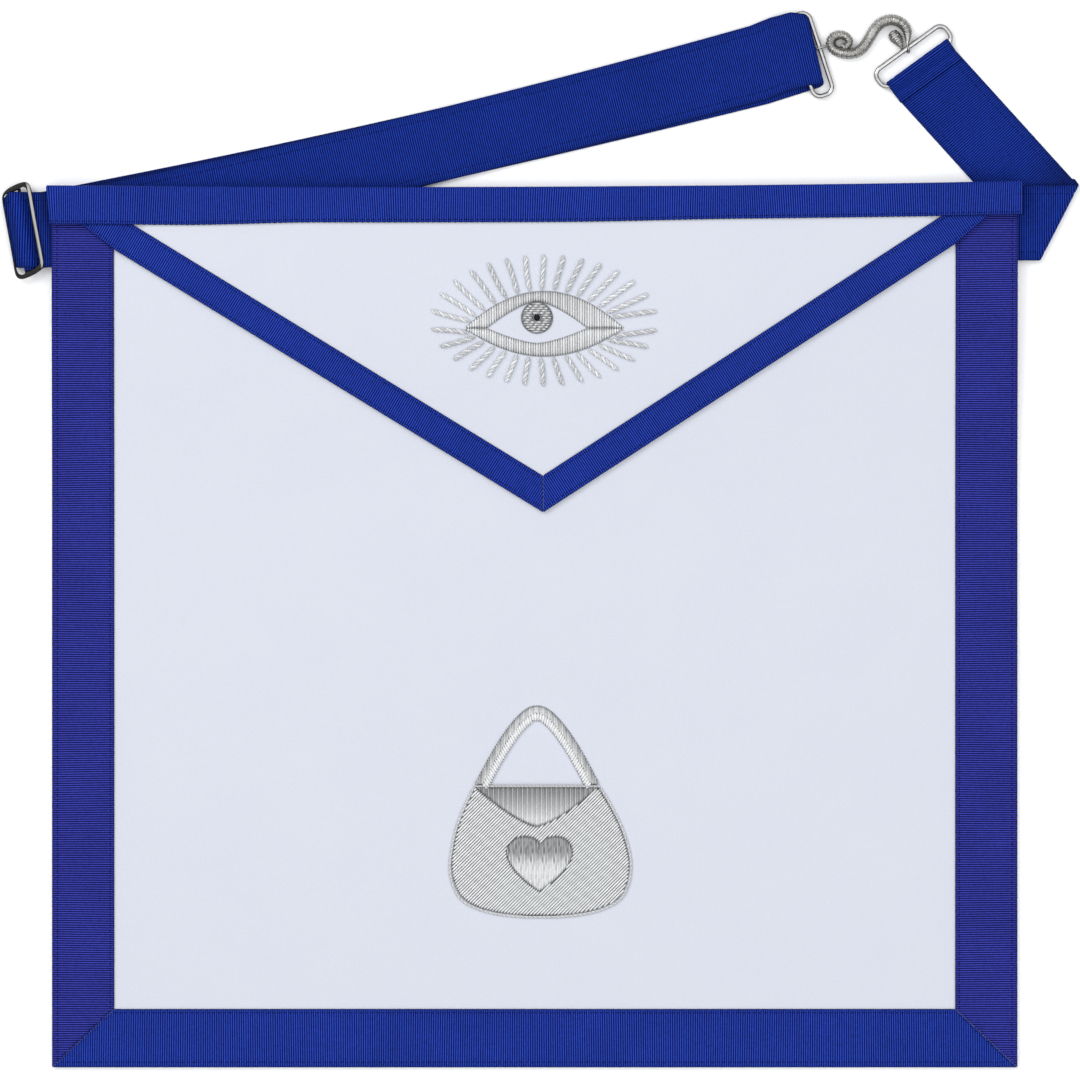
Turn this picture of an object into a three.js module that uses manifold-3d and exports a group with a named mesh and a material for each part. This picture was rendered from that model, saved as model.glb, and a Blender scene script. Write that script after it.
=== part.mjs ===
// A lodge apron of white leather with blue grosgrain ribbon, lying face up with its belt fastened.
// Millimetres. +X is the wearer's left, +Y goes from the bottom edge to the belt, +Z comes out of the front.
import * as THREE from "three";
import { mergeVertices } from "three/addons/utils/BufferGeometryUtils.js";
import Module from "manifold-3d";

const wasm = await Module();
wasm.setup();

// Panel, ribbons and the fold over the top edge
const APRON_WIDTH = 406.4;
const APRON_HEIGHT = 371.2; // bottom edge to top edge, at the left end
const TOP_EDGE_RISE = 1.8; // the right end of the top edge is this much higher
const TOP_EDGE_SAG = 1.4; // and its middle dips this much
const PANEL_THICK = 1.2;
const FLAP_THICK = 1.0;
const RIBBON_THICK = 1.0;
const EDGE_OVERHANG = 0.4; // the ribbon stands this far past the leather
const SIDE_BORDER_WIDTH = 26.2;
const BOTTOM_BORDER_WIDTH = 24.6;
const BINDING_WIDTH = 15.0;
const BINDING_OVERHANG = 2.2;
const BINDING_FOLD_RADIUS = 0.9;
const LAYER_GAP = 0.2; // between one piece and the next
const STEP_RUN = 5.0; // length in which a layer climbs over the edge of the one below
const STEP_CLEARANCE = 0.6;

// The upper part of the panel rests on the belt, and sinks to the table below it
const DRAPE_LENGTH = 100;
const DRAPE_STEPS = 10;
const DRAPE_CLEARANCE = 2.0; // between the belt's lower edge and the start of the slope

// Flap
const FLAP_DEPTH = 137.1; // top edge to the point
const FLAP_POINT_SHIFT = 3.6; // the point lies this far right of the middle
const FLAP_RIBBON_WIDTH = 12.7;
// Corners of the flap's outline: across as a share of half the apron's width, down as a share of the flap's depth
const FLAP_CORNERS = {
  left: [
    { across: 0.985, down: 0.065 },
    { across: 0.941, down: 0.114 },
    { across: 0.866, down: 0.198 },
  ],
  right: [
    { across: 0.985, down: 0.031 },
    { across: 0.931, down: 0.099 },
    { across: 0.867, down: 0.18 },
  ],
};

// Belt and its fittings
const BELT_WIDTH = 31.75;
const BELT_THICK = 1.0;
const BELT_TUCK = 60; // length sewn behind each upper corner
const BELT_LEFT_DROP = 18.6; // top edge down to the middle of the belt, at each end
const BELT_RIGHT_DROP = 15.7;
const BELT_FOLD_REACH = 17.8; // panel's edge to the fold of the short strap
const BELT_FOLD_ANGLE = 62.9;
const BELT_TAB = 8.4; // end of the short strap, turned back over the ring
const BELT_CORNER_RADIUS = 5.8; // corner of the long strap at the ring
const BACK_LAYER_SHIFT = 1.6; // how far above the ring's middle each layer of the long strap lies
const FRONT_LAYER_SHIFT = 5.4;
const BELT_LOOP_REACH = 6.2; // long strap's loop past the ring's inner bar
const BELT_LANDING = 12; // length in which a layer comes down from the ring
const FRONT_LAYER_SAG = 6.0; // how far each layer of the long strap bows below a straight line
const BACK_LAYER_SAG = 1.0;

const SLIDER_LENGTH = 40.6;
const SLIDER_WIDTH = 12.4;
const SLIDER_WIRE_RADIUS = 1.0;
const SLIDER_BAR_RADIUS = 0.8; // middle bar
const SLIDER_CORNER_RADIUS = 2.8;
const SLIDER_REACH = 12.5; // panel's edge to the middle of the slider
const SLIDER_DROP = 0.5; // middle of the belt down to the middle of the slider
const SLIDER_LEAN = 100.3;
const SLIDER_BELT_SHIFT = 1.1; // the long strap leaves this far below the slider's middle

const RING_LENGTH = 37.9;
const RING_WIDTH = 10.6;
const RING_WIRE_RADIUS = 1.0;
const RING_CORNER_RADIUS = 2.7;
const RING_LEFT = { x: 116.4, rise: 55.1, angle: 108.0 };
const RING_RIGHT = { x: 159.4, rise: 54.4, angle: 36.0 };
const RING_LEFT_RULING = 103.5; // direction of the long strap's fold at the ring

// Snake clasp. Places are shares of the distance between the two rings' outer bars, and thickness
// is a share of the body's radius. The first row is the end of the tail.
const CLASP_BODY_RADIUS = 2.1;
const CLASP_HOOK_RADIUS = 0.5;
const CLASP_EYE_RADIUS = 0.45;
const CLASP_LEFT_GRIP = 1.6; // place of each hook along its ring's bar
const CLASP_RIGHT_GRIP = -0.5;
const SNAKE_BODY = [
  { along: -0.254, above: 0.04, thick: 0.4 },
  { along: -0.208, above: 0.017, thick: 0.47 },
  { along: -0.162, above: 0.063, thick: 0.54 },
  { along: -0.191, above: 0.127, thick: 0.61 },
  { along: -0.266, above: 0.152, thick: 0.67 },
  { along: -0.342, above: 0.127, thick: 0.71 },
  { along: -0.375, above: 0.063, thick: 0.75 },
  { along: -0.347, above: -0.006, thick: 0.79 },
  { along: -0.26, above: -0.052, thick: 0.84 },
  { along: -0.162, above: -0.063, thick: 0.91 },
  { along: -0.065, above: -0.04, thick: 0.96 },
  { along: 0.004, above: 0.016, thick: 1.0 },
  { along: 0.068, above: 0.115, thick: 1.0 },
  { along: 0.141, above: 0.234, thick: 1.0 },
  { along: 0.212, above: 0.299, thick: 0.96 },
  { along: 0.31, above: 0.331, thick: 0.92 },
  { along: 0.407, above: 0.313, thick: 0.9 },
  { along: 0.478, above: 0.259, thick: 0.86 },
  { along: 0.509, above: 0.184, thick: 0.74 },
];
const SNAKE_HEAD = [
  { along: 0.43, above: 0.04, thick: 0.45, lift: 0.55 },
  { along: 0.409, above: 0.082, thick: 0.75, lift: 0.8 },
  { along: 0.372, above: 0.132, thick: 0.92, lift: 0.95 },
  { along: 0.339, above: 0.184, thick: 0.6, lift: 0.95 },
];

// Raised embroidery
const EMBROIDERY_RISE = 1.8;
const PAD_EDGE_SHARE = 0.45; // height of a pad's edge against its middle
const PAD_END_WIDTH = 0.4;
const CORD_RADIUS = 0.7;

// Eye, placed by its iris
const EYE_RIGHT_OF_MIDDLE = 0.95;
const EYE_ABOVE_POINT = 81.4; // flap's point up to the iris
const IRIS_RADIUS = 6.3;
const PUPIL_RADIUS = 1.35;
const LIDS_HALF_WIDTH = 33.5;
const LIDS_SHIFT = 3.0; // middle of the lids, right of the iris
const LIDS_CORNER_DROP = 4.4; // the lids' corners lie this far below the iris
const OPENING_HALF_WIDTH = 21;
const UPPER_LID_RISE = 15.6; // from the corners' level to the lid's outer edge, then its inner edge
const UPPER_LID_OPEN = 11.2;
const LOWER_LID_DROP = 11.9;
const LOWER_LID_OPEN = 6.3;
const RAY_COUNT = 30;
const RAY_SPREAD_HALF_WIDTH = 47.7;
const RAY_SPREAD_HALF_HEIGHT = 27.5;
const RAY_SPREAD_DROP = 1.1;
const RAY_ROOT_SHARE = 0.62; // a ray starts at this share of its tip's distance across
const RAY_WIDTH = 1.9;
const RAY_RISE = 1.3;

// Purse, placed by the middle of its mouth
const PURSE_RIGHT_OF_MIDDLE = 1.0;
const PURSE_MOUTH_HEIGHT = 118.1; // above the apron's bottom edge
const PURSE_WIDTH = 76.8;
const PURSE_DEPTH = 55.6;
const PURSE_BODY_SHIFT = 1.4; // middle of the body, right of the middle of the mouth
const PURSE_FLAP_DEPTH = 16.5;
const PURSE_FLAP_POWER = 1.4;
const HANDLE_HALF_SPAN = 23.0;
const HANDLE_RISE = 30.6;
const HANDLE_BAND = 6.0;
const HANDLE_POWER = 1.5;
const HEART_HALF_WIDTH = 14.2;
const HEART_LOBE = 6.5;
const HEART_DIP = 0.45; // height of the dip between the lobes, as a share of the lobes' height
const HEART_POINT = 16.4;
const HEART_POINT_POWER = 0.55;
const HEART_DROP = 27.5; // mouth down to the heart's widest line
// The purse's outline: down as a share of its depth, half as a share of half its width
const PURSE_OUTLINE = [
  { down: 0.0, half: 0.69 },
  { down: 0.14, half: 0.8 },
  { down: 0.31, half: 0.91 },
  { down: 0.48, half: 0.977 },
  { down: 0.6, half: 1.0 },
  { down: 0.73, half: 0.978 },
  { down: 0.856, half: 0.89 },
  { down: 0.938, half: 0.69 },
  { down: 0.983, half: 0.42 },
  { down: 1.0, half: 0.16 },
];

// Heights of the layers, worked out from the thicknesses. Each level is the middle of its layer.
const BELT_PITCH = BELT_THICK + LAYER_GAP;
const BACK_LEVEL = BELT_THICK / 2;
const FRONT_LEVEL = BACK_LEVEL + BELT_PITCH;
const TUCK_LEVEL = FRONT_LEVEL + BELT_PITCH;
const BINDING_BACK_LOW = TUCK_LEVEL + BELT_THICK / 2 + LAYER_GAP;
const PANEL_LIFT = BINDING_BACK_LOW + RIBBON_THICK + LAYER_GAP;
const RIBBON_STEP = RIBBON_THICK + LAYER_GAP;
const PANEL_STEP = PANEL_THICK + LAYER_GAP;
const FLAP_STEP = FLAP_THICK + LAYER_GAP;

const HALF_WIDTH = APRON_WIDTH / 2;
const BELT_LEFT_Y = APRON_HEIGHT - BELT_LEFT_DROP;
const BELT_RIGHT_Y = APRON_HEIGHT - BELT_RIGHT_DROP;
const DRAPE_TOP = Math.min(BELT_LEFT_Y, BELT_RIGHT_Y) - BELT_WIDTH / 2 - DRAPE_CLEARANCE;
const DRAPE_BOTTOM = DRAPE_TOP - DRAPE_LENGTH;
const FAR = 20; // past any edge, for solids that are only used to cut

const MATERIALS = {
  leather: new THREE.MeshStandardMaterial({ color: 0xdfe3ed, roughness: 0.62 }),
  ribbon: new THREE.MeshStandardMaterial({ color: 0x22389f, roughness: 0.75 }),
  belt: new THREE.MeshStandardMaterial({ color: 0x23369a, roughness: 0.75 }),
  chrome: new THREE.MeshStandardMaterial({ color: 0xc9c9cc, roughness: 0.2, metalness: 1 }),
  gunmetal: new THREE.MeshStandardMaterial({ color: 0x55565a, roughness: 0.3, metalness: 1 }),
  silver: new THREE.MeshStandardMaterial({ color: 0xb4b2ac, roughness: 0.4, metalness: 1 }),
  bullion: new THREE.MeshStandardMaterial({ color: 0xb9b8b3, roughness: 0.45, metalness: 0.8 }),
  bead: new THREE.MeshStandardMaterial({ color: 0x0c0c0e, roughness: 0.15 }),
};

const radians = THREE.MathUtils.degToRad;
const clamp = THREE.MathUtils.clamp;
const mix = THREE.MathUtils.lerp;

// Numbers from first to last in equal steps, both ends included.
function spread(first, last, count) {
  return Array.from({ length: count + 1 }, (_, i) => mix(first, last, i / count));
}

// Closed meshes

function signedVolume(points, triangles) {
  const corner = (i) => new THREE.Vector3(...points[i]);
  return triangles.reduce(
    (sum, [a, b, c]) => sum + corner(a).dot(corner(b).cross(corner(c))) / 6,
    0,
  );
}

function meshOf(points, triangles) {
  const outward = signedVolume(points, triangles) > 0;
  const faces = outward ? triangles : triangles.map(([a, b, c]) => [a, c, b]);
  const geometry = new THREE.BufferGeometry();
  geometry.setAttribute("position", new THREE.Float32BufferAttribute(points.flat(), 3));
  geometry.setIndex(faces.flat());
  return geometry;
}

function quad(a, b, c, d) {
  return [
    [a, b, c],
    [a, c, d],
  ];
}

// The closed solid between two grids of points with the same rows and columns.
function slab(upper, lower) {
  const rows = upper.length;
  const columns = upper[0].length;
  const points = [...upper.flat(), ...lower.flat()];
  const up = (i, j) => i * columns + j;
  const down = (i, j) => rows * columns + up(i, j);
  const faces = [];
  for (let i = 0; i + 1 < rows; i++) {
    for (let j = 0; j + 1 < columns; j++) {
      faces.push(...quad(up(i, j), up(i + 1, j), up(i + 1, j + 1), up(i, j + 1)));
      faces.push(...quad(down(i, j), down(i, j + 1), down(i + 1, j + 1), down(i + 1, j)));
    }
  }
  const lastRow = rows - 1;
  const lastColumn = columns - 1;
  for (let i = 0; i + 1 < rows; i++) {
    faces.push(...quad(up(i + 1, 0), up(i, 0), down(i, 0), down(i + 1, 0)));
    faces.push(
      ...quad(up(i, lastColumn), up(i + 1, lastColumn), down(i + 1, lastColumn), down(i, lastColumn)),
    );
  }
  for (let j = 0; j + 1 < columns; j++) {
    faces.push(...quad(up(0, j), up(0, j + 1), down(0, j + 1), down(0, j)));
    faces.push(...quad(up(lastRow, j + 1), up(lastRow, j), down(lastRow, j), down(lastRow, j + 1)));
  }
  return meshOf(points, faces);
}

// A round tube of changing radius along a row of points, closed on itself or with flat ends.
function tube(path, radii, sides, closed = false) {
  const count = path.length;
  const near = (i) => path[closed ? (i + count) % count : clamp(i, 0, count - 1)];
  const tangent = (i) => near(i + 1).clone().sub(near(i - 1)).normalize();
  const side = new THREE.Vector3(0, 0, 1).cross(tangent(0)).normalize();
  const points = [];
  path.forEach((centre, i) => {
    const along = tangent(i);
    side.addScaledVector(along, -side.dot(along)).normalize();
    const other = along.clone().cross(side);
    for (let k = 0; k < sides; k++) {
      const angle = (2 * Math.PI * k) / sides;
      const point = centre
        .clone()
        .addScaledVector(side, radii[i] * Math.cos(angle))
        .addScaledVector(other, radii[i] * Math.sin(angle));
      points.push(point.toArray());
    }
  });
  const faces = [];
  const at = (i, k) => (i % count) * sides + (k % sides);
  for (let i = 0; i < (closed ? count : count - 1); i++) {
    for (let k = 0; k < sides; k++) {
      faces.push(...quad(at(i, k), at(i, k + 1), at(i + 1, k + 1), at(i + 1, k)));
    }
  }
  if (!closed) {
    for (let k = 1; k + 1 < sides; k++) {
      faces.push([at(0, 0), at(0, k + 1), at(0, k)]);
      faces.push([at(count - 1, 0), at(count - 1, k), at(count - 1, k + 1)]);
    }
  }
  return meshOf(points, faces);
}

function solidOf(geometry) {
  const bare = geometry.clone();
  bare.deleteAttribute("normal");
  bare.deleteAttribute("uv");
  const merged = mergeVertices(bare, 1e-4);
  return new wasm.Manifold(
    new wasm.Mesh({
      numProp: 3,
      vertProperties: merged.attributes.position.array,
      triVerts: new Uint32Array(merged.index.array),
    }),
  );
}

function geometryOf(solid) {
  const mesh = solid.getMesh();
  const geometry = new THREE.BufferGeometry();
  geometry.setAttribute("position", new THREE.BufferAttribute(mesh.vertProperties, 3));
  geometry.setIndex(new THREE.BufferAttribute(mesh.triVerts, 1));
  return geometry;
}

// An upright block with the given outline in plan, used to trim a sheet.
function block(outline) {
  const shape = new THREE.Shape(outline.map(([x, y]) => new THREE.Vector2(x, y)));
  const geometry = new THREE.ExtrudeGeometry(shape, { depth: 4 * FAR, bevelEnabled: false });
  geometry.translate(0, 0, -FAR);
  return solidOf(geometry);
}

// Draped sheets

// Height of the panel's underside. It is straight between the rows of DRAPE_STEPS.
function drape(y) {
  const place = clamp((y - DRAPE_BOTTOM) / DRAPE_LENGTH, 0, 1) * DRAPE_STEPS;
  const step = Math.min(Math.floor(place), DRAPE_STEPS - 1);
  const smooth = (t) => PANEL_LIFT * t * t * (3 - 2 * t);
  return mix(smooth(step / DRAPE_STEPS), smooth((step + 1) / DRAPE_STEPS), place - step);
}

// 0 inside a line that lies this far from the middle, and 1 past it, with a ramp just before it.
function climb(x, line) {
  return clamp((Math.abs(x) - line + STEP_CLEARANCE + STEP_RUN) / STEP_RUN, 0, 1);
}

function climbBreaks(line) {
  const foot = line - STEP_CLEARANCE - STEP_RUN;
  return [-foot - STEP_RUN, -foot, foot, foot + STEP_RUN];
}

const BORDER_LINE = HALF_WIDTH - SIDE_BORDER_WIDTH;
const DRAPE_ROWS = [-FAR, ...spread(DRAPE_BOTTOM, DRAPE_TOP, DRAPE_STEPS), APRON_HEIGHT + FAR];
const SHEET_COLUMNS = [-HALF_WIDTH - FAR, ...climbBreaks(BORDER_LINE), HALF_WIDTH + FAR];

function panelTop(x, y) {
  return drape(y) + PANEL_STEP;
}

function flapLow(x, y) {
  return panelTop(x, y) + RIBBON_STEP * climb(x, BORDER_LINE);
}

function flapTop(x, y) {
  return flapLow(x, y) + FLAP_STEP;
}

// A sheet of one thickness over a surface, trimmed to an outline.
function sheet(surface, thick, outline) {
  const grid = (lift) =>
    SHEET_COLUMNS.map((x) => DRAPE_ROWS.map((y) => [x, y, surface(x, y) + lift]));
  return solidOf(slab(grid(thick), grid(0))).intersect(block(outline));
}

function topEdge(x) {
  const across = x / HALF_WIDTH;
  const middle = APRON_HEIGHT + TOP_EDGE_RISE / 2 - TOP_EDGE_SAG;
  return middle + (TOP_EDGE_RISE / 2) * across + TOP_EDGE_SAG * across * across;
}

// The top edge of the leather from one place to another, under the fold of the binding.
function leatherTop(from, to) {
  const under = RIBBON_THICK + LAYER_GAP;
  return spread(from, to, 8).map((x) => [x, topEdge(x) - under]);
}

function flapCorner({ across, down }, side) {
  return [side * across * HALF_WIDTH, APRON_HEIGHT - down * FLAP_DEPTH];
}

const FLAP_LEFT = FLAP_CORNERS.left.map((row) => flapCorner(row, -1));
const FLAP_RIGHT = FLAP_CORNERS.right.map((row) => flapCorner(row, 1));
const FLAP_POINT = [FLAP_POINT_SHIFT, APRON_HEIGHT - FLAP_DEPTH];

// Steepness of each long edge of the flap, from the point to the last corner before it.
function flapSlope(corners) {
  const [x, y] = corners[corners.length - 1];
  return (y - FLAP_POINT[1]) / Math.abs(x - FLAP_POINT[0]);
}

// The flap's outline, grown outwards by a small amount.
function flapOutline(grow) {
  const outwards = ([x, y]) => [x + Math.sign(x) * grow, y - grow];
  const point = [FLAP_POINT[0], FLAP_POINT[1] - grow * Math.SQRT2];
  return [
    ...leatherTop(FLAP_RIGHT[0][0], FLAP_LEFT[0][0]),
    ...FLAP_LEFT.map(outwards),
    point,
    ...FLAP_RIGHT.map(outwards).reverse(),
  ];
}

// The part of the flap inside its ribbon: a triangle that runs on past the top edge.
function insideFlapRibbon() {
  const side = (corners, sign) => {
    const slope = flapSlope(corners);
    const tip = FLAP_RIBBON_WIDTH * Math.hypot(1, slope);
    const y = APRON_HEIGHT + FAR;
    return [FLAP_POINT[0] + (sign * (y - FLAP_POINT[1] - tip)) / slope, y];
  };
  const slopes = (flapSlope(FLAP_LEFT) + flapSlope(FLAP_RIGHT)) / 2;
  const tip = [FLAP_POINT[0], FLAP_POINT[1] + FLAP_RIBBON_WIDTH * Math.hypot(1, slopes)];
  return [side(FLAP_RIGHT, 1), side(FLAP_LEFT, -1), tip];
}

function apronPanel() {
  const half = HALF_WIDTH - EDGE_OVERHANG;
  const outline = [[-half, EDGE_OVERHANG], [half, EDGE_OVERHANG], ...leatherTop(half, -half)];
  return sheet((x, y) => drape(y), PANEL_THICK, outline);
}

function sideBorder(side) {
  const outer = side * HALF_WIDTH;
  const inner = side * BORDER_LINE;
  const outline = [
    [outer, LAYER_GAP],
    ...leatherTop(outer, inner),
    [inner, BOTTOM_BORDER_WIDTH + LAYER_GAP],
  ];
  return sheet(panelTop, RIBBON_THICK, outline);
}

function bottomBorder() {
  const outline = [
    [-HALF_WIDTH, 0],
    [HALF_WIDTH, 0],
    [BORDER_LINE, BOTTOM_BORDER_WIDTH],
    [-BORDER_LINE, BOTTOM_BORDER_WIDTH],
  ];
  return sheet(panelTop, RIBBON_THICK, outline);
}

function flapRibbon(side) {
  const band = sheet(flapTop, RIBBON_THICK, flapOutline(EDGE_OVERHANG)).subtract(block(insideFlapRibbon()));
  const seam = FLAP_POINT[0] + (side * LAYER_GAP) / 2;
  const far = side * (HALF_WIDTH + FAR);
  const half = [
    [seam, -FAR],
    [far, -FAR],
    [far, APRON_HEIGHT + FAR],
    [seam, APRON_HEIGHT + FAR],
  ];
  return band.intersect(block(half));
}

// The ribbon folded over the top edge: a back leaf, the fold, and a front leaf that climbs over the
// flap's ribbons and the side borders near its ends.
function topBinding() {
  const [right, left, tip] = insideFlapRibbon();
  const share = (APRON_HEIGHT - BINDING_WIDTH - tip[1]) / (right[1] - tip[1]);
  const ribbonLine = Math.min(...[right, left].map(([x]) => Math.abs(mix(tip[0], x, share))));
  const end = HALF_WIDTH + BINDING_OVERHANG;
  const columns = [-end, ...climbBreaks(BORDER_LINE), ...climbBreaks(ribbonLine), -end / 3, 0, end / 3, end];
  columns.sort((a, b) => a - b);
  const back = BINDING_BACK_LOW + RIBBON_THICK / 2;
  const round = spread(0, 90, 3).map(radians);
  const grid = columns.map((x) => {
    const top = topEdge(x) - RIBBON_THICK / 2;
    const low = topEdge(x) - BINDING_WIDTH;
    const front =
      flapTop(x, APRON_HEIGHT) + RIBBON_STEP * climb(x, ribbonLine) + RIBBON_THICK / 2;
    const turn = BINDING_FOLD_RADIUS;
    const row = [{ y: low, z: back, facing: radians(-90) }];
    round.forEach((angle) => {
      const facing = angle - Math.PI / 2;
      row.push({
        y: top - turn + turn * Math.cos(facing),
        z: back + turn + turn * Math.sin(facing),
        facing,
      });
    });
    round.forEach((facing) => {
      row.push({
        y: top - turn + turn * Math.cos(facing),
        z: front - turn + turn * Math.sin(facing),
        facing,
      });
    });
    row.push({ y: low, z: front, facing: radians(90) });
    return { x, row };
  });
  const layer = (offset) =>
    grid.map(({ x, row }) =>
      row.map(({ y, z, facing }) => [
        x,
        y + offset * Math.cos(facing),
        z + offset * Math.sin(facing),
      ]),
    );
  return slab(layer(RIBBON_THICK / 2), layer(-RIBBON_THICK / 2));
}

// Belt. A frame is a place in plan with the direction across the band, in degrees. In it, u runs
// a quarter turn clockwise from that direction and v runs along it.

function framePoint(frame, u, v, z) {
  const angle = radians(frame.across);
  return new THREE.Vector3(
    frame.x + u * Math.sin(angle) + v * Math.cos(angle),
    frame.y - u * Math.cos(angle) + v * Math.sin(angle),
    z,
  );
}

// The middle line of a band drawn taut round a row of round bars. A roller with side 1 is passed
// clockwise and one with side -1 counter-clockwise. A radius of 0 is a point on the line.
function tautLine(rollers) {
  const headings = [];
  for (let i = 0; i + 1 < rollers.length; i++) {
    const a = rollers[i];
    const b = rollers[i + 1];
    const distance = Math.hypot(b.u - a.u, b.z - a.z);
    const lean = clamp((a.side * a.radius - b.side * b.radius) / distance, -1, 1);
    headings.push(Math.atan2(b.z - a.z, b.u - a.u) - Math.asin(lean));
  }
  const samples = [];
  rollers.forEach(({ u, z, radius, side }, i) => {
    const first = headings[Math.max(i - 1, 0)];
    let last = headings[Math.min(i, headings.length - 1)];
    const turns = Math.round((first - last) / (2 * Math.PI));
    last += turns * 2 * Math.PI;
    if (side * (last - first) > 1e-6 && Math.abs(last - first) > Math.PI / 3) {
      last -= side * 2 * Math.PI;
    }
    if (i < headings.length) headings[i] = last;
    const count = radius > 0 ? Math.max(1, Math.ceil(Math.abs(last - first) / radians(24))) : 0;
    for (let k = 0; k <= count; k++) {
      const heading = count ? mix(first, last, k / count) : last;
      samples.push({
        u: u - side * radius * Math.sin(heading),
        z: z + side * radius * Math.cos(heading),
        heading,
      });
    }
  });
  return samples;
}

// Stations of a band along a taut line. Its two edges move evenly from start to end.
function turnStations(frame, rollers, start, end, corner = null) {
  const line = tautLine(rollers);
  const lengths = [0];
  for (let i = 1; i < line.length; i++) {
    lengths.push(lengths[i - 1] + Math.hypot(line[i].u - line[i - 1].u, line[i].z - line[i - 1].z));
  }
  const total = lengths[lengths.length - 1];
  return line.map(({ u, z, heading }, i) => {
    const share = lengths[i] / total;
    const inset = corner ? roundedInset(corner.tip - u, corner.radius) : 0;
    const low = mix(start[0], end[0], share);
    const high = mix(start[1], end[1], share) - inset;
    const normal = framePoint(frame, -Math.sin(heading), 0, Math.cos(heading));
    normal.x -= frame.x;
    normal.y -= frame.y;
    return { low: framePoint(frame, u, low, z), high: framePoint(frame, u, high, z), normal };
  });
}

// How far a rounded corner takes the edge in, at a distance from the tip.
function roundedInset(distance, radius) {
  const inside = clamp(radius - distance, 0, radius);
  return radius - Math.sqrt(radius * radius - inside * inside);
}

// Stations of a band that lies flat between two places in plan. Its cross lines turn from the
// direction that it starts with to its own square direction, and then to the one that it ends with.
function flatStations({ from, to, startAcross, endAcross, level, facing, sag, settle }) {
  const count = 14;
  const length = Math.hypot(to.x - from.x, to.y - from.y);
  const chord = Math.atan2(to.y - from.y, to.x - from.x);
  const drift = chord - Math.PI / 2;
  const square = (t) => {
    const tilt = chord - Math.atan((4 * sag * (1 - 2 * t) * Math.sign(Math.cos(chord))) / length);
    const across = tilt + Math.PI / 2;
    return Math.sin(across) < 0 ? across - Math.PI : across;
  };
  return spread(0, 1, count)
    .slice(1, -1)
    .map((t) => {
      const bow = 4 * sag * t * (1 - t);
      const sign = Math.sin(drift) > 0 ? -1 : 1;
      const x = mix(from.x, to.x, t) + sign * bow * Math.cos(drift);
      const y = mix(from.y, to.y, t) + sign * bow * Math.sin(drift);
      const early = clamp(1 - (t * length) / settle, 0, 1) * (radians(startAcross) - square(0));
      const late = clamp(1 - ((1 - t) * length) / settle, 0, 1) * (radians(endAcross) - square(1));
      const angle = square(t) + early + late;
      const half = BELT_WIDTH / 2 / Math.cos(early + late);
      const frame = { x, y, across: THREE.MathUtils.radToDeg(angle) };
      return {
        low: framePoint(frame, 0, -half, level),
        high: framePoint(frame, 0, half, level),
        normal: new THREE.Vector3(0, 0, facing),
      };
    });
}

function band(stations) {
  const layer = (offset) =>
    stations.map(({ low, high, normal }) =>
      [low, high].map((edge) => edge.clone().addScaledVector(normal, offset).toArray()),
    );
  return slab(layer(BELT_THICK / 2), layer(-BELT_THICK / 2));
}

// Where a level belt's two edges cross a frame's line at u.
function levelEdges(frame, u, middle) {
  const angle = radians(frame.across);
  const edge = (y) => (y - frame.y + u * Math.cos(angle)) / Math.sin(angle);
  return [edge(middle - BELT_WIDTH / 2), edge(middle + BELT_WIDTH / 2)];
}

const SLIDER_FRAME = {
  x: -HALF_WIDTH - SLIDER_REACH,
  y: BELT_LEFT_Y - SLIDER_DROP,
  across: SLIDER_LEAN,
};
const SLIDER_BAR_U = SLIDER_WIDTH / 2 - SLIDER_WIRE_RADIUS;
const SLIDER_LEVEL = TUCK_LEVEL + SLIDER_WIRE_RADIUS + LAYER_GAP + BELT_THICK / 2;
const RING_LEVEL = BELT_THICK + LAYER_GAP + RING_WIRE_RADIUS;
const RING_BAR_U = RING_WIDTH / 2 - RING_WIRE_RADIUS;
const TURN_RADIUS = RING_WIRE_RADIUS + LAYER_GAP + BELT_THICK / 2;

function ringFrame({ x, rise, angle }) {
  return { x, y: APRON_HEIGHT + rise, across: angle };
}

const RING_LEFT_FRAME = ringFrame(RING_LEFT);
const RING_RIGHT_FRAME = ringFrame(RING_RIGHT);

function roller(u, z, radius, side) {
  return { u, z, radius, side };
}

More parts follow.
